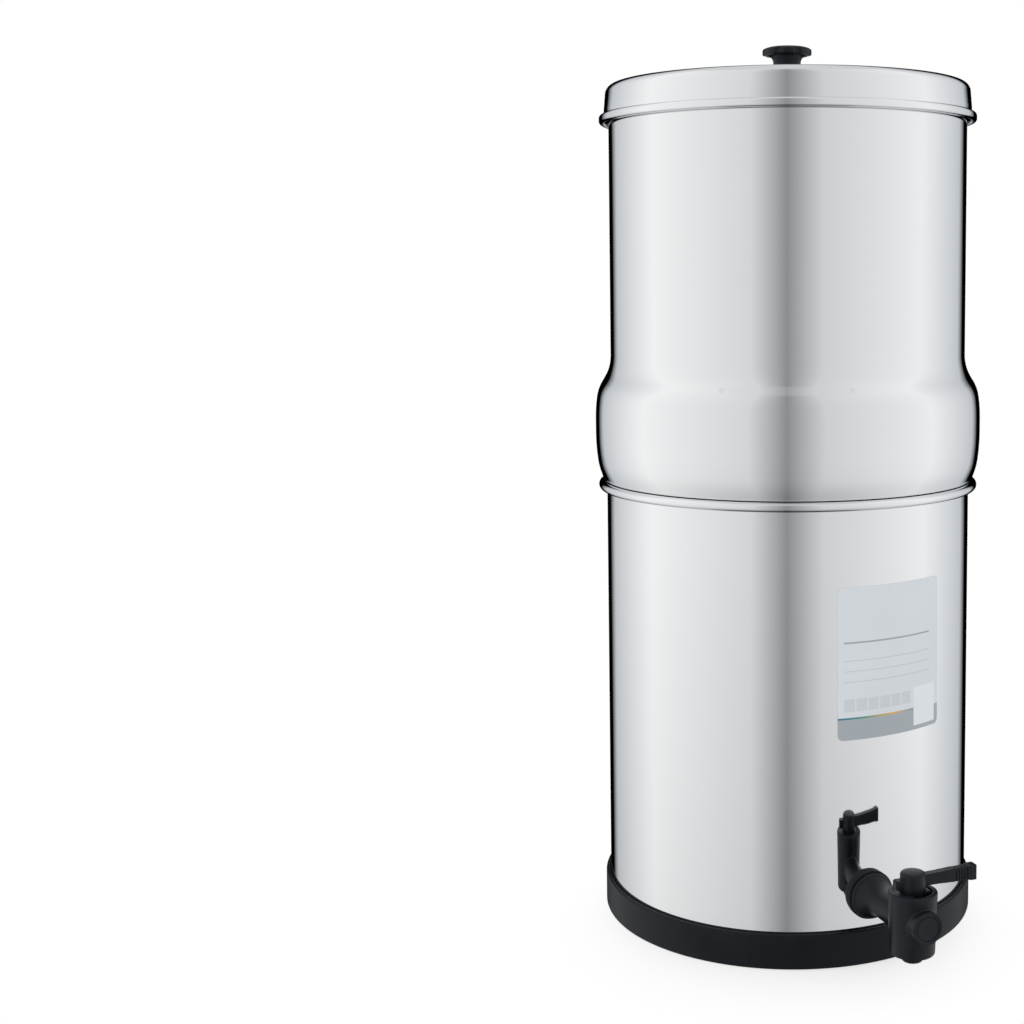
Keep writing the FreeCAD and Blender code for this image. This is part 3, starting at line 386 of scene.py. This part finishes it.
def placed_group(tree, name, **inputs):
    node = add(tree, "ShaderNodeGroup")
    node.node_tree = bpy.data.node_groups[name]
    for label, value in inputs.items():
        node.inputs[label].default_value = value
    return node.outputs


def new_material(name):
    material = bpy.data.materials.new(name)
    material.use_nodes = True
    tree = material.node_tree
    return material, tree, tree.nodes["Principled BSDF"]


def connect(tree, shader, **sources):
    """Feeds or sets the shader's sockets, given by name with underscores."""
    for name, value in sources.items():
        socket = shader.inputs[name.replace("_", " ")]
        if isinstance(value, bpy.types.NodeSocket):
            tree.links.new(value, socket)
        else:
            socket.default_value = value


def bumped(tree, height, strength, distance):
    return add(tree, "ShaderNodeBump", Height=height, Strength=strength, Distance=distance).outputs[0]


def spread(tree, mask, low, high):
    """Maps a 0 to 1 mask to low to high."""
    return add(tree, "ShaderNodeMapRange", i0=mask, i1=0.3, i2=0.7, i3=low, i4=high).outputs[0]


def shade(colour, factor):
    return tuple(min(1.0, c * factor) for c in colour[:3])


def steel_material(name, colour, roughness, across, along):
    """Polished metal with fine polish lines and soft clouding; across and along are the lines' scales."""
    _, tree, shader = new_material(name)
    polish = placed_group(tree, "Polish Lines", Across=across, Along=along)
    tint = mixed(tree, polish["Cloud"], shade(colour, 0.985), shade(colour, 1.01))
    lines = mixed(tree, polish["Lines"], shade(colour, 0.97), shade(colour, 1.0))
    rough = math_node(tree, "ADD", spread(tree, polish["Lines"], roughness * 0.8, roughness * 1.3),
                      spread(tree, polish["Cloud"], 0.0, 0.01))
    connect(tree, shader, Base_Color=mixed(tree, 0.5, tint, lines), Metallic=1.0, Roughness=rough,
            Normal=bumped(tree, polish["Lines"], 0.04, 0.02 * MM))


def dull_material(name, colour, roughness, fine, patches, bump, lift=1.35, wear=0.0, gloss=0.5,
                  sheen=(1, 1, 1, 1)):
    """Moulded plastic, rubber, ceramic or carbon: grain, soft patches and lighter rubbed edges."""
    _, tree, shader = new_material(name)
    grain = placed_group(tree, "Mould Grain", Fine=fine, Patches=patches)
    body = mixed(tree, spread(tree, grain["Patch"], 0.0, 1.0), shade(colour, 1 / lift), shade(colour, lift))
    if wear:
        edge = placed_group(tree, "Edge Wear", Reach=0.08)["Edge"]
        body = mixed(tree, math_node(tree, "MULTIPLY", edge, wear), body, shade(colour, 3.2))
    rough = spread(tree, grain["Patch"], roughness * 0.88, min(1.0, roughness * 1.12))
    connect(tree, shader, Base_Color=body, Roughness=rough, Normal=bumped(tree, grain["Height"], bump, 0.06 * MM))
    shader.inputs["Specular IOR Level"].default_value = gloss
    shader.inputs["Specular Tint"].default_value = sheen


CAD_FINISHES = {
    "Polished Steel": ("lower_chamber", "upper_chamber", "lid"),
    "Bright Screw Steel": ("knob_screw", "knob_washer"),
    "Turned Brass": ("knob_insert",),
    "Black Plastic": ("tap_badge", "tap_body", "tap_bonnet", "tap_lever", "lid_knob", "tap_nut", "tap_plug"),
    "Black Rubber": ("base_ring",),
    "Seal Rubber": ("candle_seals", "stopper_seals", "plug_rings", "tap_outer_washer", "tap_inner_washer"),
    "White Plastic": ("candle_mount_1", "candle_mount_2", "candle_wing_nuts", "stoppers", "stopper_nuts"),
    "Candle Ceramic": ("candle_shell_1", "candle_shell_2"),
    "Carbon Block": ("candle_core_1", "candle_core_2"),
    "Label Film": ("front_label",),
}


class WATERFILTER_OT_finishes(bpy.types.Operator):
    """Mixes every finish and gives the CAD nodes theirs"""

    bl_idname = "waterfilter.finishes"
    bl_label = "Mix the finishes"

    def execute(self, context):
        look = context.scene.waterfilter_finishes
        build_groups()
        steel_material("Polished Steel", look.steel, look.steel_roughness, 700.0, 5.0)
        steel_material("Bright Screw Steel", shade(look.steel, 0.85), 0.22, 400.0, 400.0)
        steel_material("Turned Brass", (0.72, 0.52, 0.22), 0.25, 300.0, 900.0)
        dull_material("Black Plastic", look.plastic, 0.33, 2600.0, 70.0, 0.5, wear=0.3, gloss=0.24,
                      sheen=BLUE_SHEEN)
        dull_material("Black Rubber", look.rubber, 0.42, 1800.0, 40.0, 0.4, wear=0.15, gloss=0.16,
                      sheen=BLUE_SHEEN)
        dull_material("Seal Rubber", (0.012, 0.012, 0.013), 0.6, 2000.0, 80.0, 0.4, gloss=0.2, sheen=BLUE_SHEEN)
        dull_material("White Plastic", look.white_plastic, 0.36, 2400.0, 60.0, 0.2, lift=1.03)
        dull_material("Candle Ceramic", look.ceramic, 0.9, 900.0, 30.0, 0.9, lift=1.04)
        dull_material("Carbon Block", (0.018, 0.018, 0.018), 0.85, 1200.0, 90.0, 1.0, lift=1.6)
        self.label_print(look)
        for material, names in CAD_FINISHES.items():
            for name in names:
                NODES[name].data.materials.clear()
                NODES[name].data.materials.append(bpy.data.materials[material])
        return {"FINISHED"}

    def label_print(self, look):
        """The label's plain print on its own flat map: a rule, blank boxes, a band, a stripe and a pale panel."""
        _, tree, shader = new_material("Label Film")
        size = bpy.context.scene.waterfilter_fittings
        flat = add(tree, "ShaderNodeUVMap", set_uv_map="film").outputs[0]
        parts = add(tree, "ShaderNodeSeparateXYZ", i0=flat).outputs
        across = math_node(tree, "MULTIPLY", math_node(tree, "SUBTRACT", parts[0], 0.5), size.label_width / MM)
        up = math_node(tree, "MULTIPLY", math_node(tree, "SUBTRACT", parts[1], 0.5), size.label_height / MM)

        def within(value, low, high, soft=0.12):
            """1 between low and high, with a soft edge."""
            rise = add(tree, "ShaderNodeMapRange", i0=value, i1=low - soft, i2=low + soft, i3=0.0, i4=1.0).outputs[0]
            fall = add(tree, "ShaderNodeMapRange", i0=value, i1=high - soft, i2=high + soft, i3=1.0,
                       i4=0.0).outputs[0]
            return math_node(tree, "MULTIPLY", rise, fall)

        def block(left, right, low, high):
            return math_node(tree, "MULTIPLY", within(across, left, right), within(up, low, high))

        patch = placed_group(tree, "Mould Grain", Fine=1500.0, Patches=25.0)
        colour = mixed(tree, spread(tree, patch["Patch"], 0.0, 1.0), shade(look.label, 0.985),
                       shade(look.label, 1.015))
        # places on the label in millimetres from its middle
        left_margin, right_margin, past_edge = -34.5, 29.5, 60.0
        panel_left, panel_right, band_top = 15.6, 35.0, -34.2
        # a rule and three writing lines
        colour = mixed(tree, block(left_margin, right_margin, 12.6, 13.6), colour, shade(look.band, 0.9))
        for level in (2.0, -4.5, -11.0):
            line = block(left_margin, right_margin, level - 0.18, level + 0.18)
            colour = mixed(tree, line, colour, shade(look.label, 0.72))
        # row of blank boxes, one shape repeated along the row
        pitch, space = 8.05, 0.9
        along = math_node(tree, "MODULO", math_node(tree, "ADD", across, 34.6 + pitch * 4), pitch)
        row = math_node(tree, "MULTIPLY", within(across, left_margin, 13.5), within(up, -29.3, -21.6))
        boxes = math_node(tree, "MULTIPLY", row, within(along, 0.1, pitch - space))
        colour = mixed(tree, boxes, colour, shade(look.label, 0.88))
        # lower band with a slim stripe on it and a pale panel at its end
        colour = mixed(tree, within(up, -past_edge, band_top), colour, look.band)
        stripe = ramp(tree, parts[0], (0.0, (0.03, 0.16, 0.30)), (0.22, (0.06, 0.30, 0.22)),
                      (0.48, (0.75, 0.42, 0.05)), (0.75, (0.06, 0.32, 0.55)))
        colour = mixed(tree, block(-past_edge, panel_left, band_top, -33.0), colour, stripe)
        colour = mixed(tree, block(panel_left, panel_right, -44.4, -20.0), colour, shade(look.label, 1.12))
        connect(tree, shader, Base_Color=colour, Roughness=spread(tree, patch["Patch"], 0.32, 0.42),
                Normal=bumped(tree, patch["Height"], 0.12, 0.03 * MM))
        shader.inputs["Coat Weight"].default_value = 0.25


# ---------------------------------------------------------------- steel shells

class WATERFILTER_OT_lower_tank(bpy.types.Operator):
    """Spins the lower tank with its rolled rim and drills the tap's hole"""

    bl_idname = "waterfilter.lower_tank"
    bl_label = "Spin the lower tank"

    def execute(self, context):
        size = context.scene.waterfilter_shells
        floor_up = tank_low.z
        corner, roll = 9 * MM, 2.3 * MM
        straight = tank_high.z - size.sheet - roll - floor_up - corner
        profile = walk((0.0, floor_up), [
            (size.tank_radius - corner,), (corner, 90), (straight,), (roll, -120), (roll, -120),
        ], size.arc_step, size.wall_step)
        tank = spin_profile("lower_tank", upright(profile), size.turn_steps, crown=-1)
        finish_modifier(tank, "SOLIDIFY", thickness=size.sheet, offset=-1, use_even_offset=True)
        shank_hole = 8.25 * MM
        drill(tank, [(0, -size.tank_radius, SHANK_UP)], shank_hole, DRILL_DEPTH, axis="Y")
        smooth(tank)
        settle(tank, "tank", "polished_steel", "Polished Steel", "lower_chamber")
        return {"FINISHED"}


class WATERFILTER_OT_upper_chamber(bpy.types.Operator):
    """Spins the bulged upper chamber and drills the four holes in its floor"""

    bl_idname = "waterfilter.upper_chamber"
    bl_label = "Spin the upper chamber"

    def execute(self, context):
        size = context.scene.waterfilter_shells
        floor_up = upper_low.z
        corner, fillet, hem = 8 * MM, 2.1 * MM, 0.1 * MM
        collar_radius = size.tank_radius - 1.7 * MM  # slips into the tank's rim
        step_up = 288.03 * MM  # rests on the tank's rim
        collar = [(collar_radius - corner,), (corner, 90), (step_up - fillet - floor_up - corner,)]
        step = [(fillet, -90), (0.2 * MM,), (2 * MM, 70), (4.187 * MM,)]
        bulge = [(40 * MM, 12), (130 * MM, 8), (9.5 * MM,), (100 * MM, 8)]
        shoulder = [(26 * MM, 23), (3.44 * MM,), (28 * MM, -31)]
        low = walk((0.0, floor_up), collar + step + bulge + shoulder, size.arc_step / 2, size.wall_step)
        wall = upper_high.z - hem - size.sheet - low[-1][1]
        high = walk(low[-1], [(wall,), (hem, -85), (hem, -85)], size.arc_step * 2, size.wall_step, math.pi / 2)
        chamber = spin_profile("upper_chamber_shell", upright(low + high[1:]), size.turn_steps, crown=-1)
        finish_modifier(chamber, "SOLIDIFY", thickness=size.sheet, offset=-1, use_even_offset=True)
        station, stem_hole = 58 * MM * math.sqrt(0.5), 5.4 * MM
        holes = [(x * station, y * station, floor_up) for x in (-1, 1) for y in (-1, 1)]
        drill(chamber, holes, stem_hole, DRILL_DEPTH)
        smooth(chamber)
        settle(chamber, "upper", "polished_steel", "Polished Steel", "upper_chamber")
        return {"FINISHED"}


class WATERFILTER_OT_lid(bpy.types.Operator):
    """Spins the crowned lid with its rolled edge and drills the knob screw's hole"""

    bl_idname = "waterfilter.lid"
    bl_label = "Spin the lid"

    def execute(self, context):
        size = context.scene.waterfilter_shells
        crown, roll = 2598 * MM, 2.05 * MM
        top = [(crown, -2.5), (5.2 * MM, -82.8)]
        side = [(10.2 * MM,), (10 * MM, -4.7), (6.4 * MM,)]
        bead = [(roll, 90), (roll, 90), (1.6 * MM,), (roll, 70)]
        profile = walk((0.0, lid_high.z - size.sheet), top + side + bead, size.arc_step, size.wall_step)
        lid = spin_profile("lid_shell", upright(profile), size.turn_steps, crown=1)
        finish_modifier(lid, "SOLIDIFY", thickness=size.sheet, offset=1, use_even_offset=True)
        screw_hole = 3.3 * MM
        drill(lid, [(0, 0, lid_high.z)], screw_hole, DRILL_DEPTH)
        smooth(lid)
        settle(lid, "cover", "polished_steel", "Polished Steel", "lid")
        return {"FINISHED"}


# ---------------------------------------------------------------- rubber and plastic

class WATERFILTER_OT_base_ring(bpy.types.Operator):
    """Spins the rubber ring under the tank, with rounded edges and its inner ledge"""

    bl_idname = "waterfilter.base_ring"
    bl_label = "Spin the base ring"

    def execute(self, context):
        size = context.scene.waterfilter_shells
        outer, inner, height = foot_high.x, foot_high.x - 3 * MM, foot_high.z
        ledge, ledge_up, ease = outer - 17 * MM, 5.7 * MM, 0.5 * MM
        low_round, top_round = 1.5 * MM, 1.4 * MM
        profile = walk((ledge, 0.0), [
            (outer - low_round - ledge,), (low_round, 90), (height - low_round - top_round,), (top_round, 90),
            (outer - inner - 2 * top_round,), (top_round, 90), (height - top_round - ledge_up,),
        ], size.arc_step * 1.5, size.wall_step)
        profile += [(ledge + ease, ledge_up), (ledge, ledge_up - ease), (ledge, 0.0)]
        ring = spin_profile("base_ring_rubber", upright(profile), size.turn_steps)
        smooth(ring, 40)
        settle(ring, "tank", "black_rubber", "Black Rubber", "base_ring")
        return {"FINISHED"}


class WATERFILTER_OT_moulded(bpy.types.Operator):
    """Moulds the tap's body and bonnet and the lid's knob with softly rounded edges"""

    bl_idname = "waterfilter.moulded"
    bl_label = "Mould the tap and the knob"

    def execute(self, context):
        size = context.scene.waterfilter_fittings
        for node, name, body, fineness in (
            ("tap_body", "tap_body_moulded", "tank", 1.0),
            ("tap_bonnet", "tap_bonnet_moulded", "tank", 0.6),
            ("lid_knob", "knob_moulded", "cover", 0.7),
        ):
            piece = copy_of(node, name)
            mould(piece, size.mould_grain * fineness, size.mould_rounding)
            settle(piece, body, "black_plastic", "Black Plastic", node)
        return {"FINISHED"}


def mould(piece, grain, rounding):
    """Melts a piece's overlapping forms into one skin with softly rounded edges."""
    finish_modifier(piece, "REMESH", mode="VOXEL", voxel_size=grain, use_smooth_shade=True)
    finish_modifier(piece, "SMOOTH", factor=0.5, iterations=rounding)
    smooth(piece, 60)


class WATERFILTER_OT_tap_lever(bpy.types.Operator):
    """Models the tap's lever: a crowned hub, a widening arm with grip ribs and a short tail"""

    bl_idname = "waterfilter.tap_lever"
    bl_label = "Model the tap lever"

    def execute(self, context):
        size = context.scene.waterfilter_fittings
        foot_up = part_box("tap_lever")[0].z
        hub_profile = walk((0.0, foot_up), [
            (7.1 * MM,), (0.4 * MM, 90), (11.9 * MM,), (1.8 * MM, 80), (34.6 * MM, 10),
        ], math.radians(9), 4 * MM)
        hub_profile[-1] = (0.0, hub_profile[-1][1])
        hub = spin_profile("tap_lever_moulded", [(x, tap_axis_y, z) for x, z in hub_profile], 64,
                           middle=(0, tap_axis_y, 0))
        # each section is (place along X, height, thickness) in millimetres
        arm = [(3.0, 6.6, 5.2), (16.0, 7.0, 5.2), (26.5, 7.9, 5.3)]
        for rib in range(5):
            along = 27.2 + 1.9 * rib
            tall = 7.8 + 0.1 * rib
            arm += [(along, tall, 5.3), (along + 0.1, tall, 4.3), (along + 0.8, tall, 4.3), (along + 0.9, tall, 5.5)]
        arm += [(37.0, 8.4, 5.7), (37.4, 9.0, 6.1), (41.4, 9.0, 6.1)]
        tail = [(3.0, 5.6, 5.0), (-11.2, 5.6, 5.0), (-12.2, 4.6, 4.0)]
        lug = [(3.0, 2.4, 8.0), (10.3, 2.4, 8.0)]
        arm_up, fine_grain = 71.1 * MM, 0.24 * MM
        bars = [self.bar(arm, arm_up), self.bar(tail, arm_up - 0.9 * MM), self.bar(lug, foot_up + 1.3 * MM)]
        pick(hub)
        for bar in bars:
            bar.select_set(True)
        bpy.ops.object.join()
        mould(hub, fine_grain, size.mould_rounding)
        settle(hub, "lever", "black_plastic", "Black Plastic", "tap_lever")
        return {"FINISHED"}

    def bar(self, sections, level):
        """A bar along X, extruded from section to section."""
        deselect()
        first = sections[0]
        centre = (first[0] * MM, tap_axis_y, level)
        bpy.ops.mesh.primitive_plane_add(size=MM, location=centre, rotation=(0, math.pi / 2, 0))
        piece = bpy.context.active_object
        bpy.ops.object.transform_apply(location=False, rotation=True, scale=True)
        bpy.ops.object.mode_set(mode="EDIT")
        bpy.ops.mesh.select_all(action="SELECT")
        bpy.ops.transform.resize(value=(1, first[2], first[1]), center_override=centre)
        for last, now in zip(sections, sections[1:]):
            bpy.ops.mesh.extrude_region_move(TRANSFORM_OT_translate={"value": ((now[0] - last[0]) * MM, 0, 0)})
            centre = (now[0] * MM, tap_axis_y, level)
            bpy.ops.transform.resize(value=(1, now[2] / last[2], now[1] / last[1]), center_override=centre)
        bpy.ops.mesh.select_all(action="SELECT")
        bpy.ops.mesh.normals_make_consistent(inside=False)
        bpy.ops.object.mode_set(mode="OBJECT")
        bpy.ops.object.transform_apply(location=True, rotation=True, scale=True)
        return piece


class WATERFILTER_OT_tap_badge(bpy.types.Operator):
    """Spins the plain badge on the tap's boss, with a raised rim and a fine groove"""

    bl_idname = "waterfilter.tap_badge"
    bl_label = "Spin the tap's badge"

    def execute(self, context):
        face, back = badge_low.y, badge_high.y
        level = (badge_low.z + badge_high.z) / 2
        # (across, depth behind the rim's face) in millimetres: rim, groove and hollowed middle
        front = [(8.4, 0.2), (8.2, 0.0), (7.5, 0.0), (7.35, 0.1), (7.25, 0.55), (7.0, 0.55), (6.85, 0.2),
                 (3.0, 0.24), (0.0, 0.25)]
        points = [(0.0, back, level), (front[0][0] * MM, back, level)]
        points += [(across * MM, face + depth * MM, level) for across, depth in front]
        badge = spin_profile("tap_badge_plain", points, 96, middle=(0, 0, level), axis=(0, 1, 0))
        smooth(badge, 25)
        settle(badge, "tank", "black_plastic", "Black Plastic", "tap_badge")
        return {"FINISHED"}


class WATERFILTER_OT_label(bpy.types.Operator):
    """Cuts the label's film, wraps it round the tank and maps its print"""

    bl_idname = "waterfilter.label"
    bl_label = "Wrap the label"

    def execute(self, context):
        size = context.scene.waterfilter_fittings
        glue, strips = 0.02 * MM, 40
        radius = context.scene.waterfilter_shells.tank_radius + glue
        deselect()
        bpy.ops.mesh.primitive_plane_add(size=1.0)
        film = bpy.context.active_object
        film.name = film.data.name = "label_film"
        film.scale = (size.label_width, size.label_height, 1)
        bpy.ops.object.transform_apply(scale=True)
        bpy.ops.object.mode_set(mode="EDIT")
        bpy.ops.mesh.select_all(action="SELECT")
        bpy.ops.mesh.bevel(offset=size.label_corner, segments=8, affect="VERTICES")
        for number in range(1, strips):
            at = size.label_width * (number / strips - 0.5)
            bpy.ops.mesh.select_all(action="SELECT")
            bpy.ops.mesh.bisect(plane_co=(at, 0, 0), plane_no=(1, 0, 0))
        bpy.ops.object.mode_set(mode="OBJECT")
        mesh = film.data
        print_map = mesh.uv_layers[0] if mesh.uv_layers else mesh.uv_layers.new()
        print_map.name = "film"
        for loop in mesh.loops:
            x, y, _ = mesh.vertices[loop.vertex_index].co
            print_map.data[loop.index].uv = (x / size.label_width + 0.5, y / size.label_height + 0.5)
        tilt = Matrix.Rotation(-size.label_tilt, 3, "Z")
        for vertex in mesh.vertices:
            flat = tilt @ vertex.co
            turn = size.label_turn + flat.x / radius
            vertex.co = (radius * math.sin(turn), -radius * math.cos(turn), size.label_level + flat.y)
        finish_modifier(film, "SOLIDIFY", thickness=size.label_film, offset=1)
        smooth(film, 30)
        settle(film, "tank", "label_film", "Label Film", "front_label")
        return {"FINISHED"}


# ---------------------------------------------------------------- studio

TENT_RADIUS, TENT_HALF = 1.6, 3.5  # half of its height lies under the table
LENS_SHIFT = (-0.203125, -0.0884)


def seen_rays(tree):
    """1 for rays from the camera and rays that mirror or pass through a piece."""
    path = add(tree, "ShaderNodeLightPath").outputs
    return math_node(tree, "MAXIMUM", path["Is Camera Ray"],
                     math_node(tree, "MAXIMUM", path["Is Glossy Ray"], path["Is Transmission Ray"]))


def soft_step(tree, value, low, high, bottom=0.0, top=1.0):
    """Rises smoothly from bottom to top between low and high."""
    return add(tree, "ShaderNodeMapRange", set_interpolation_type="SMOOTHSTEP", i0=value, i1=low, i2=high,
               i3=bottom, i4=top).outputs[0]


class WATERFILTER_OT_studio(bpy.types.Operator):
    """Sets the floor, the light tent, the lamps and the camera"""

    bl_idname = "waterfilter.studio"
    bl_label = "Set up the studio"

    def execute(self, context):
        scene = context.scene
        look = scene.waterfilter_studio
        scene.view_settings.view_transform = "Standard"
        self.world(scene, look)
        self.floor(look)
        self.tent(look)
        self.lamps(look)
        self.camera(scene, look)
        return {"FINISHED"}

    def world(self, scene, look):
        """White behind the filter, softer on dull surfaces."""
        scene.world = bpy.data.worlds.new("Studio White")
        scene.world.use_nodes = True
        tree = scene.world.node_tree
        background = tree.nodes["Background"]
        level = add(tree, "ShaderNodeMapRange", i0=seen_rays(tree), i1=0.0, i2=1.0, i3=look.world_level,
                    i4=1.0).outputs[0]
        tree.links.new(level, background.inputs["Strength"])
        background.inputs["Color"].default_value = (1, 1, 1, 1)

    def floor(self, look):
        """Pale table whose white glow is painted light; near the filter the glow thins so the lamps' real shadow
        shows, and it fades into the white around it.
        """
        floor_radius, drop = 6.0, 0.2 * MM
        deselect()
        bpy.ops.mesh.primitive_circle_add(vertices=96, radius=floor_radius, fill_type="TRIFAN",
                                          location=(0, 0, -drop))
        floor = bpy.context.active_object
        floor.name = "studio_floor"
        material, tree, shader = new_material("Pale Table")
        shader.inputs["Base Color"].default_value = (0.93, 0.93, 0.93, 1)
        shader.inputs["Roughness"].default_value = 0.6
        shader.inputs["Specular IOR Level"].default_value = 0.1
        glow = add(tree, "ShaderNodeEmission", Color=(1, 1, 1, 1), Strength=1.0).outputs[0]
        # the glow thins round a middle set a little towards the camera: the grey left in front is the lamps' real
        # shade, placed there as a painted stand-in for the table's reflection of the filter
        lean = 0.05
        middle = (lean * math.sin(look.camera_turn), -lean * math.cos(look.camera_turn), 0)
        place = add(tree, "ShaderNodeTexCoord").outputs["Object"]
        near = add(tree, "ShaderNodeVectorMath", set_operation="SUBTRACT", i0=place, i1=middle).outputs[0]
        away = add(tree, "ShaderNodeVectorMath", set_operation="LENGTH", i0=near).outputs["Value"]
        fade = soft_step(tree, away, 0.06, 0.16, bottom=0.62)
        # painted light: share of white glow mixed over the lit table
        mix = add(tree, "ShaderNodeMixShader", i0=math_node(tree, "MULTIPLY", seen_rays(tree), fade),
                  i1=shader.outputs[0], i2=glow)
        tree.links.new(mix.outputs[0], tree.nodes["Material Output"].inputs["Surface"])
        floor.data.materials.append(material)
        floor.visible_glossy = False

    def tent(self, look):
        """Round light tent that only reflections see: a dim slit for the camera, soft sides, dark flags behind."""
        deselect()
        bpy.ops.mesh.primitive_cylinder_add(vertices=128, radius=TENT_RADIUS, depth=2 * TENT_HALF,
                                            end_fill_type="NGON", location=(0, 0, 0),
                                            rotation=(0, 0, look.camera_turn))
        tent = bpy.context.active_object
        tent.name = "studio_tent"
        material, tree, shader = new_material("Tent Cloth")
        place = add(tree, "ShaderNodeTexCoord").outputs["Object"]
        parts = add(tree, "ShaderNodeSeparateXYZ", i0=place).outputs
        # 0.5 is the camera's side, 0.25 a quarter turn to its left
        turn = math_node(tree, "ARCTAN2", parts[0], math_node(tree, "MULTIPLY", parts[1], -1.0))
        share = math_node(tree, "ADD", math_node(tree, "DIVIDE", turn, 2 * math.pi), 0.5)
        # the same panels stand left and right, from straight behind to the camera: a slit, a black flag, a white
        # panel's edge, its middle and its other edge
        places = (0.0, 0.03, 0.09, 0.12, 0.25, 0.44)
        left, right, camera_slit = (0.4, 0.0, 0.0, 0.6, 1.0, 0.75), (0.4, 0.0, 0.0, 0.6, 0.95, 0.7), 0.3
        levels = [*zip(places, left), (0.5, camera_slit)]
        levels += [(1 - spot, level) for spot, level in reversed(list(zip(places, right)))]
        cool, plain, behind = (0.94, 0.985, 1.03), (0.99, 1.0, 1.012), 0.35
        cloth = ramp(tree, share, *(
            (spot, shade(cool if abs(spot - 0.5) > behind else plain, level)) for spot, level in levels))
        # the flags behind end softly at the top
        aside = math_node(tree, "ABSOLUTE", math_node(tree, "SUBTRACT", share, 0.5))
        flags = add(tree, "ShaderNodeMapRange", i0=aside, i1=0.34, i2=0.40, i3=0.0, i4=1.0).outputs[0]
        gap = math_node(tree, "MULTIPLY", flags, soft_step(tree, parts[2], 1.6, 3.2))
        cloth = mixed(tree, gap, cloth, (0.72, 0.73, 0.74))
        # over a thin seam the roof is plain
        seam_up, seam_half, seam_share = 2.15, 0.02, 0.12
        over = math_node(tree, "DIVIDE", parts[2], TENT_HALF, clamp=True)
        roof = ramp(tree, over, (0.606, 0.0), (0.640, 0.16), (0.97, 0.4), (0.98, 1.0))
        cloth = mixed(tree, roof, cloth, (0.68, 0.69, 0.70))
        seam = math_node(tree, "COMPARE", parts[2], seam_up, seam_half)
        cloth = mixed(tree, math_node(tree, "MULTIPLY", seam, seam_share), cloth, (0.2, 0.2, 0.2))
        # below the table's level the cloth gets darker towards its foot
        depth = math_node(tree, "DIVIDE", math_node(tree, "ADD", parts[2], TENT_HALF), TENT_HALF, clamp=True)
        under = ramp(tree, depth, (0.0, 0.1), (0.05, 0.45), (0.6, 0.7), (0.9, 0.95), (1.0, 1.0))
        tent_glow = 1.1
        glow = add(tree, "ShaderNodeEmission", Color=cloth,
                   Strength=math_node(tree, "MULTIPLY", under, tent_glow)).outputs[0]
        tree.links.new(glow, tree.nodes["Material Output"].inputs["Surface"])
        tree.nodes.remove(shader)
        tent.data.materials.append(material)
        for kind in ("camera", "diffuse", "transmission", "volume_scatter", "shadow"):
            setattr(tent, f"visible_{kind}", False)
        bpy.ops.object.shade_smooth()

    def lamps(self, look):
        """One large soft lamp high on the left and a weaker one on the right, as the camera sees it."""
        target = Vector((0, 0, 0.25))
        for name, turn, up, away, across, power in (
            ("Key Lamp", -70, 1.5, 1.4, 1.2, look.key_power),
            ("Fill Lamp", 40, 1.1, 1.5, 1.0, look.key_power * 0.22),
        ):
            angle = look.camera_turn + math.radians(turn)
            data = bpy.data.lights.new(name, "AREA")
            data.shape, data.size, data.energy = "DISK", across, power
            lamp = bpy.data.objects.new(name, data)
            bpy.context.scene.collection.objects.link(lamp)
            lamp.location = (away * math.sin(angle), -away * math.cos(angle), up)
            lamp.rotation_euler = (target - lamp.location).to_track_quat("-Z", "Y").to_euler()
            lamp.visible_glossy = False

    def camera(self, scene, look):
        data = bpy.data.cameras.new("Camera")
        data.sensor_width, data.lens = 36.0, look.lens
        data.shift_x, data.shift_y = LENS_SHIFT
        camera = bpy.data.objects.new("Camera", data)
        scene.collection.objects.link(camera)
        place = Matrix.Rotation(look.camera_turn, 4, "Z") @ Matrix.Translation(
            (0, -look.camera_distance, look.camera_height))
        camera.matrix_world = (place @ Matrix.Rotation(-look.camera_yaw, 4, "Z")
                               @ Matrix.Rotation(math.pi / 2 - look.camera_pitch, 4, "X")
                               @ Matrix.Rotation(look.camera_roll, 4, "Z"))
        scene.camera = camera


# ---------------------------------------------------------------- panel and start

STEPS = ("finishes", "lower_tank", "upper_chamber", "lid", "base_ring", "moulded", "tap_lever", "tap_badge", "label",
         "studio")


class WATERFILTER_PT_panel(bpy.types.Panel):
    """Lists the steps that build the filter"""

    bl_idname = "WATERFILTER_PT_panel"
    bl_label = "Gravity Water Filter"
    bl_space_type = "VIEW_3D"
    bl_region_type = "UI"
    bl_category = "Water Filter"

    def draw(self, context):
        for step in STEPS:
            self.layout.operator(f"waterfilter.{step}")
        for group in ("shells", "fittings", "finishes", "studio"):
            box = self.layout.box()
            settings = getattr(context.scene, f"waterfilter_{group}")
            box.label(text=group.title())
            for name in settings.__annotations__:
                box.prop(settings, name)


GROUPS = {
    "waterfilter_shells": WATERFILTER_PG_shells,
    "waterfilter_fittings": WATERFILTER_PG_fittings,
    "waterfilter_finishes": WATERFILTER_PG_finishes,
    "waterfilter_studio": WATERFILTER_PG_studio,
}
CLASSES = (
    *GROUPS.values(),
    WATERFILTER_OT_finishes, WATERFILTER_OT_lower_tank, WATERFILTER_OT_upper_chamber, WATERFILTER_OT_lid,
    WATERFILTER_OT_base_ring, WATERFILTER_OT_moulded, WATERFILTER_OT_tap_lever, WATERFILTER_OT_tap_badge,
    WATERFILTER_OT_label, WATERFILTER_OT_studio,
    WATERFILTER_PT_panel,
)


def register():
    for item in CLASSES:
        bpy.utils.register_class(item)
    for name, group in GROUPS.items():
        setattr(bpy.types.Scene, name, PointerProperty(type=group))


def unregister():
    for name in GROUPS:
        delattr(bpy.types.Scene, name)
    for item in reversed(CLASSES):
        bpy.utils.unregister_class(item)


def main():
    register()
    for step in STEPS:
        getattr(bpy.ops.waterfilter, step)()


if __name__ == "__main__":
    main()
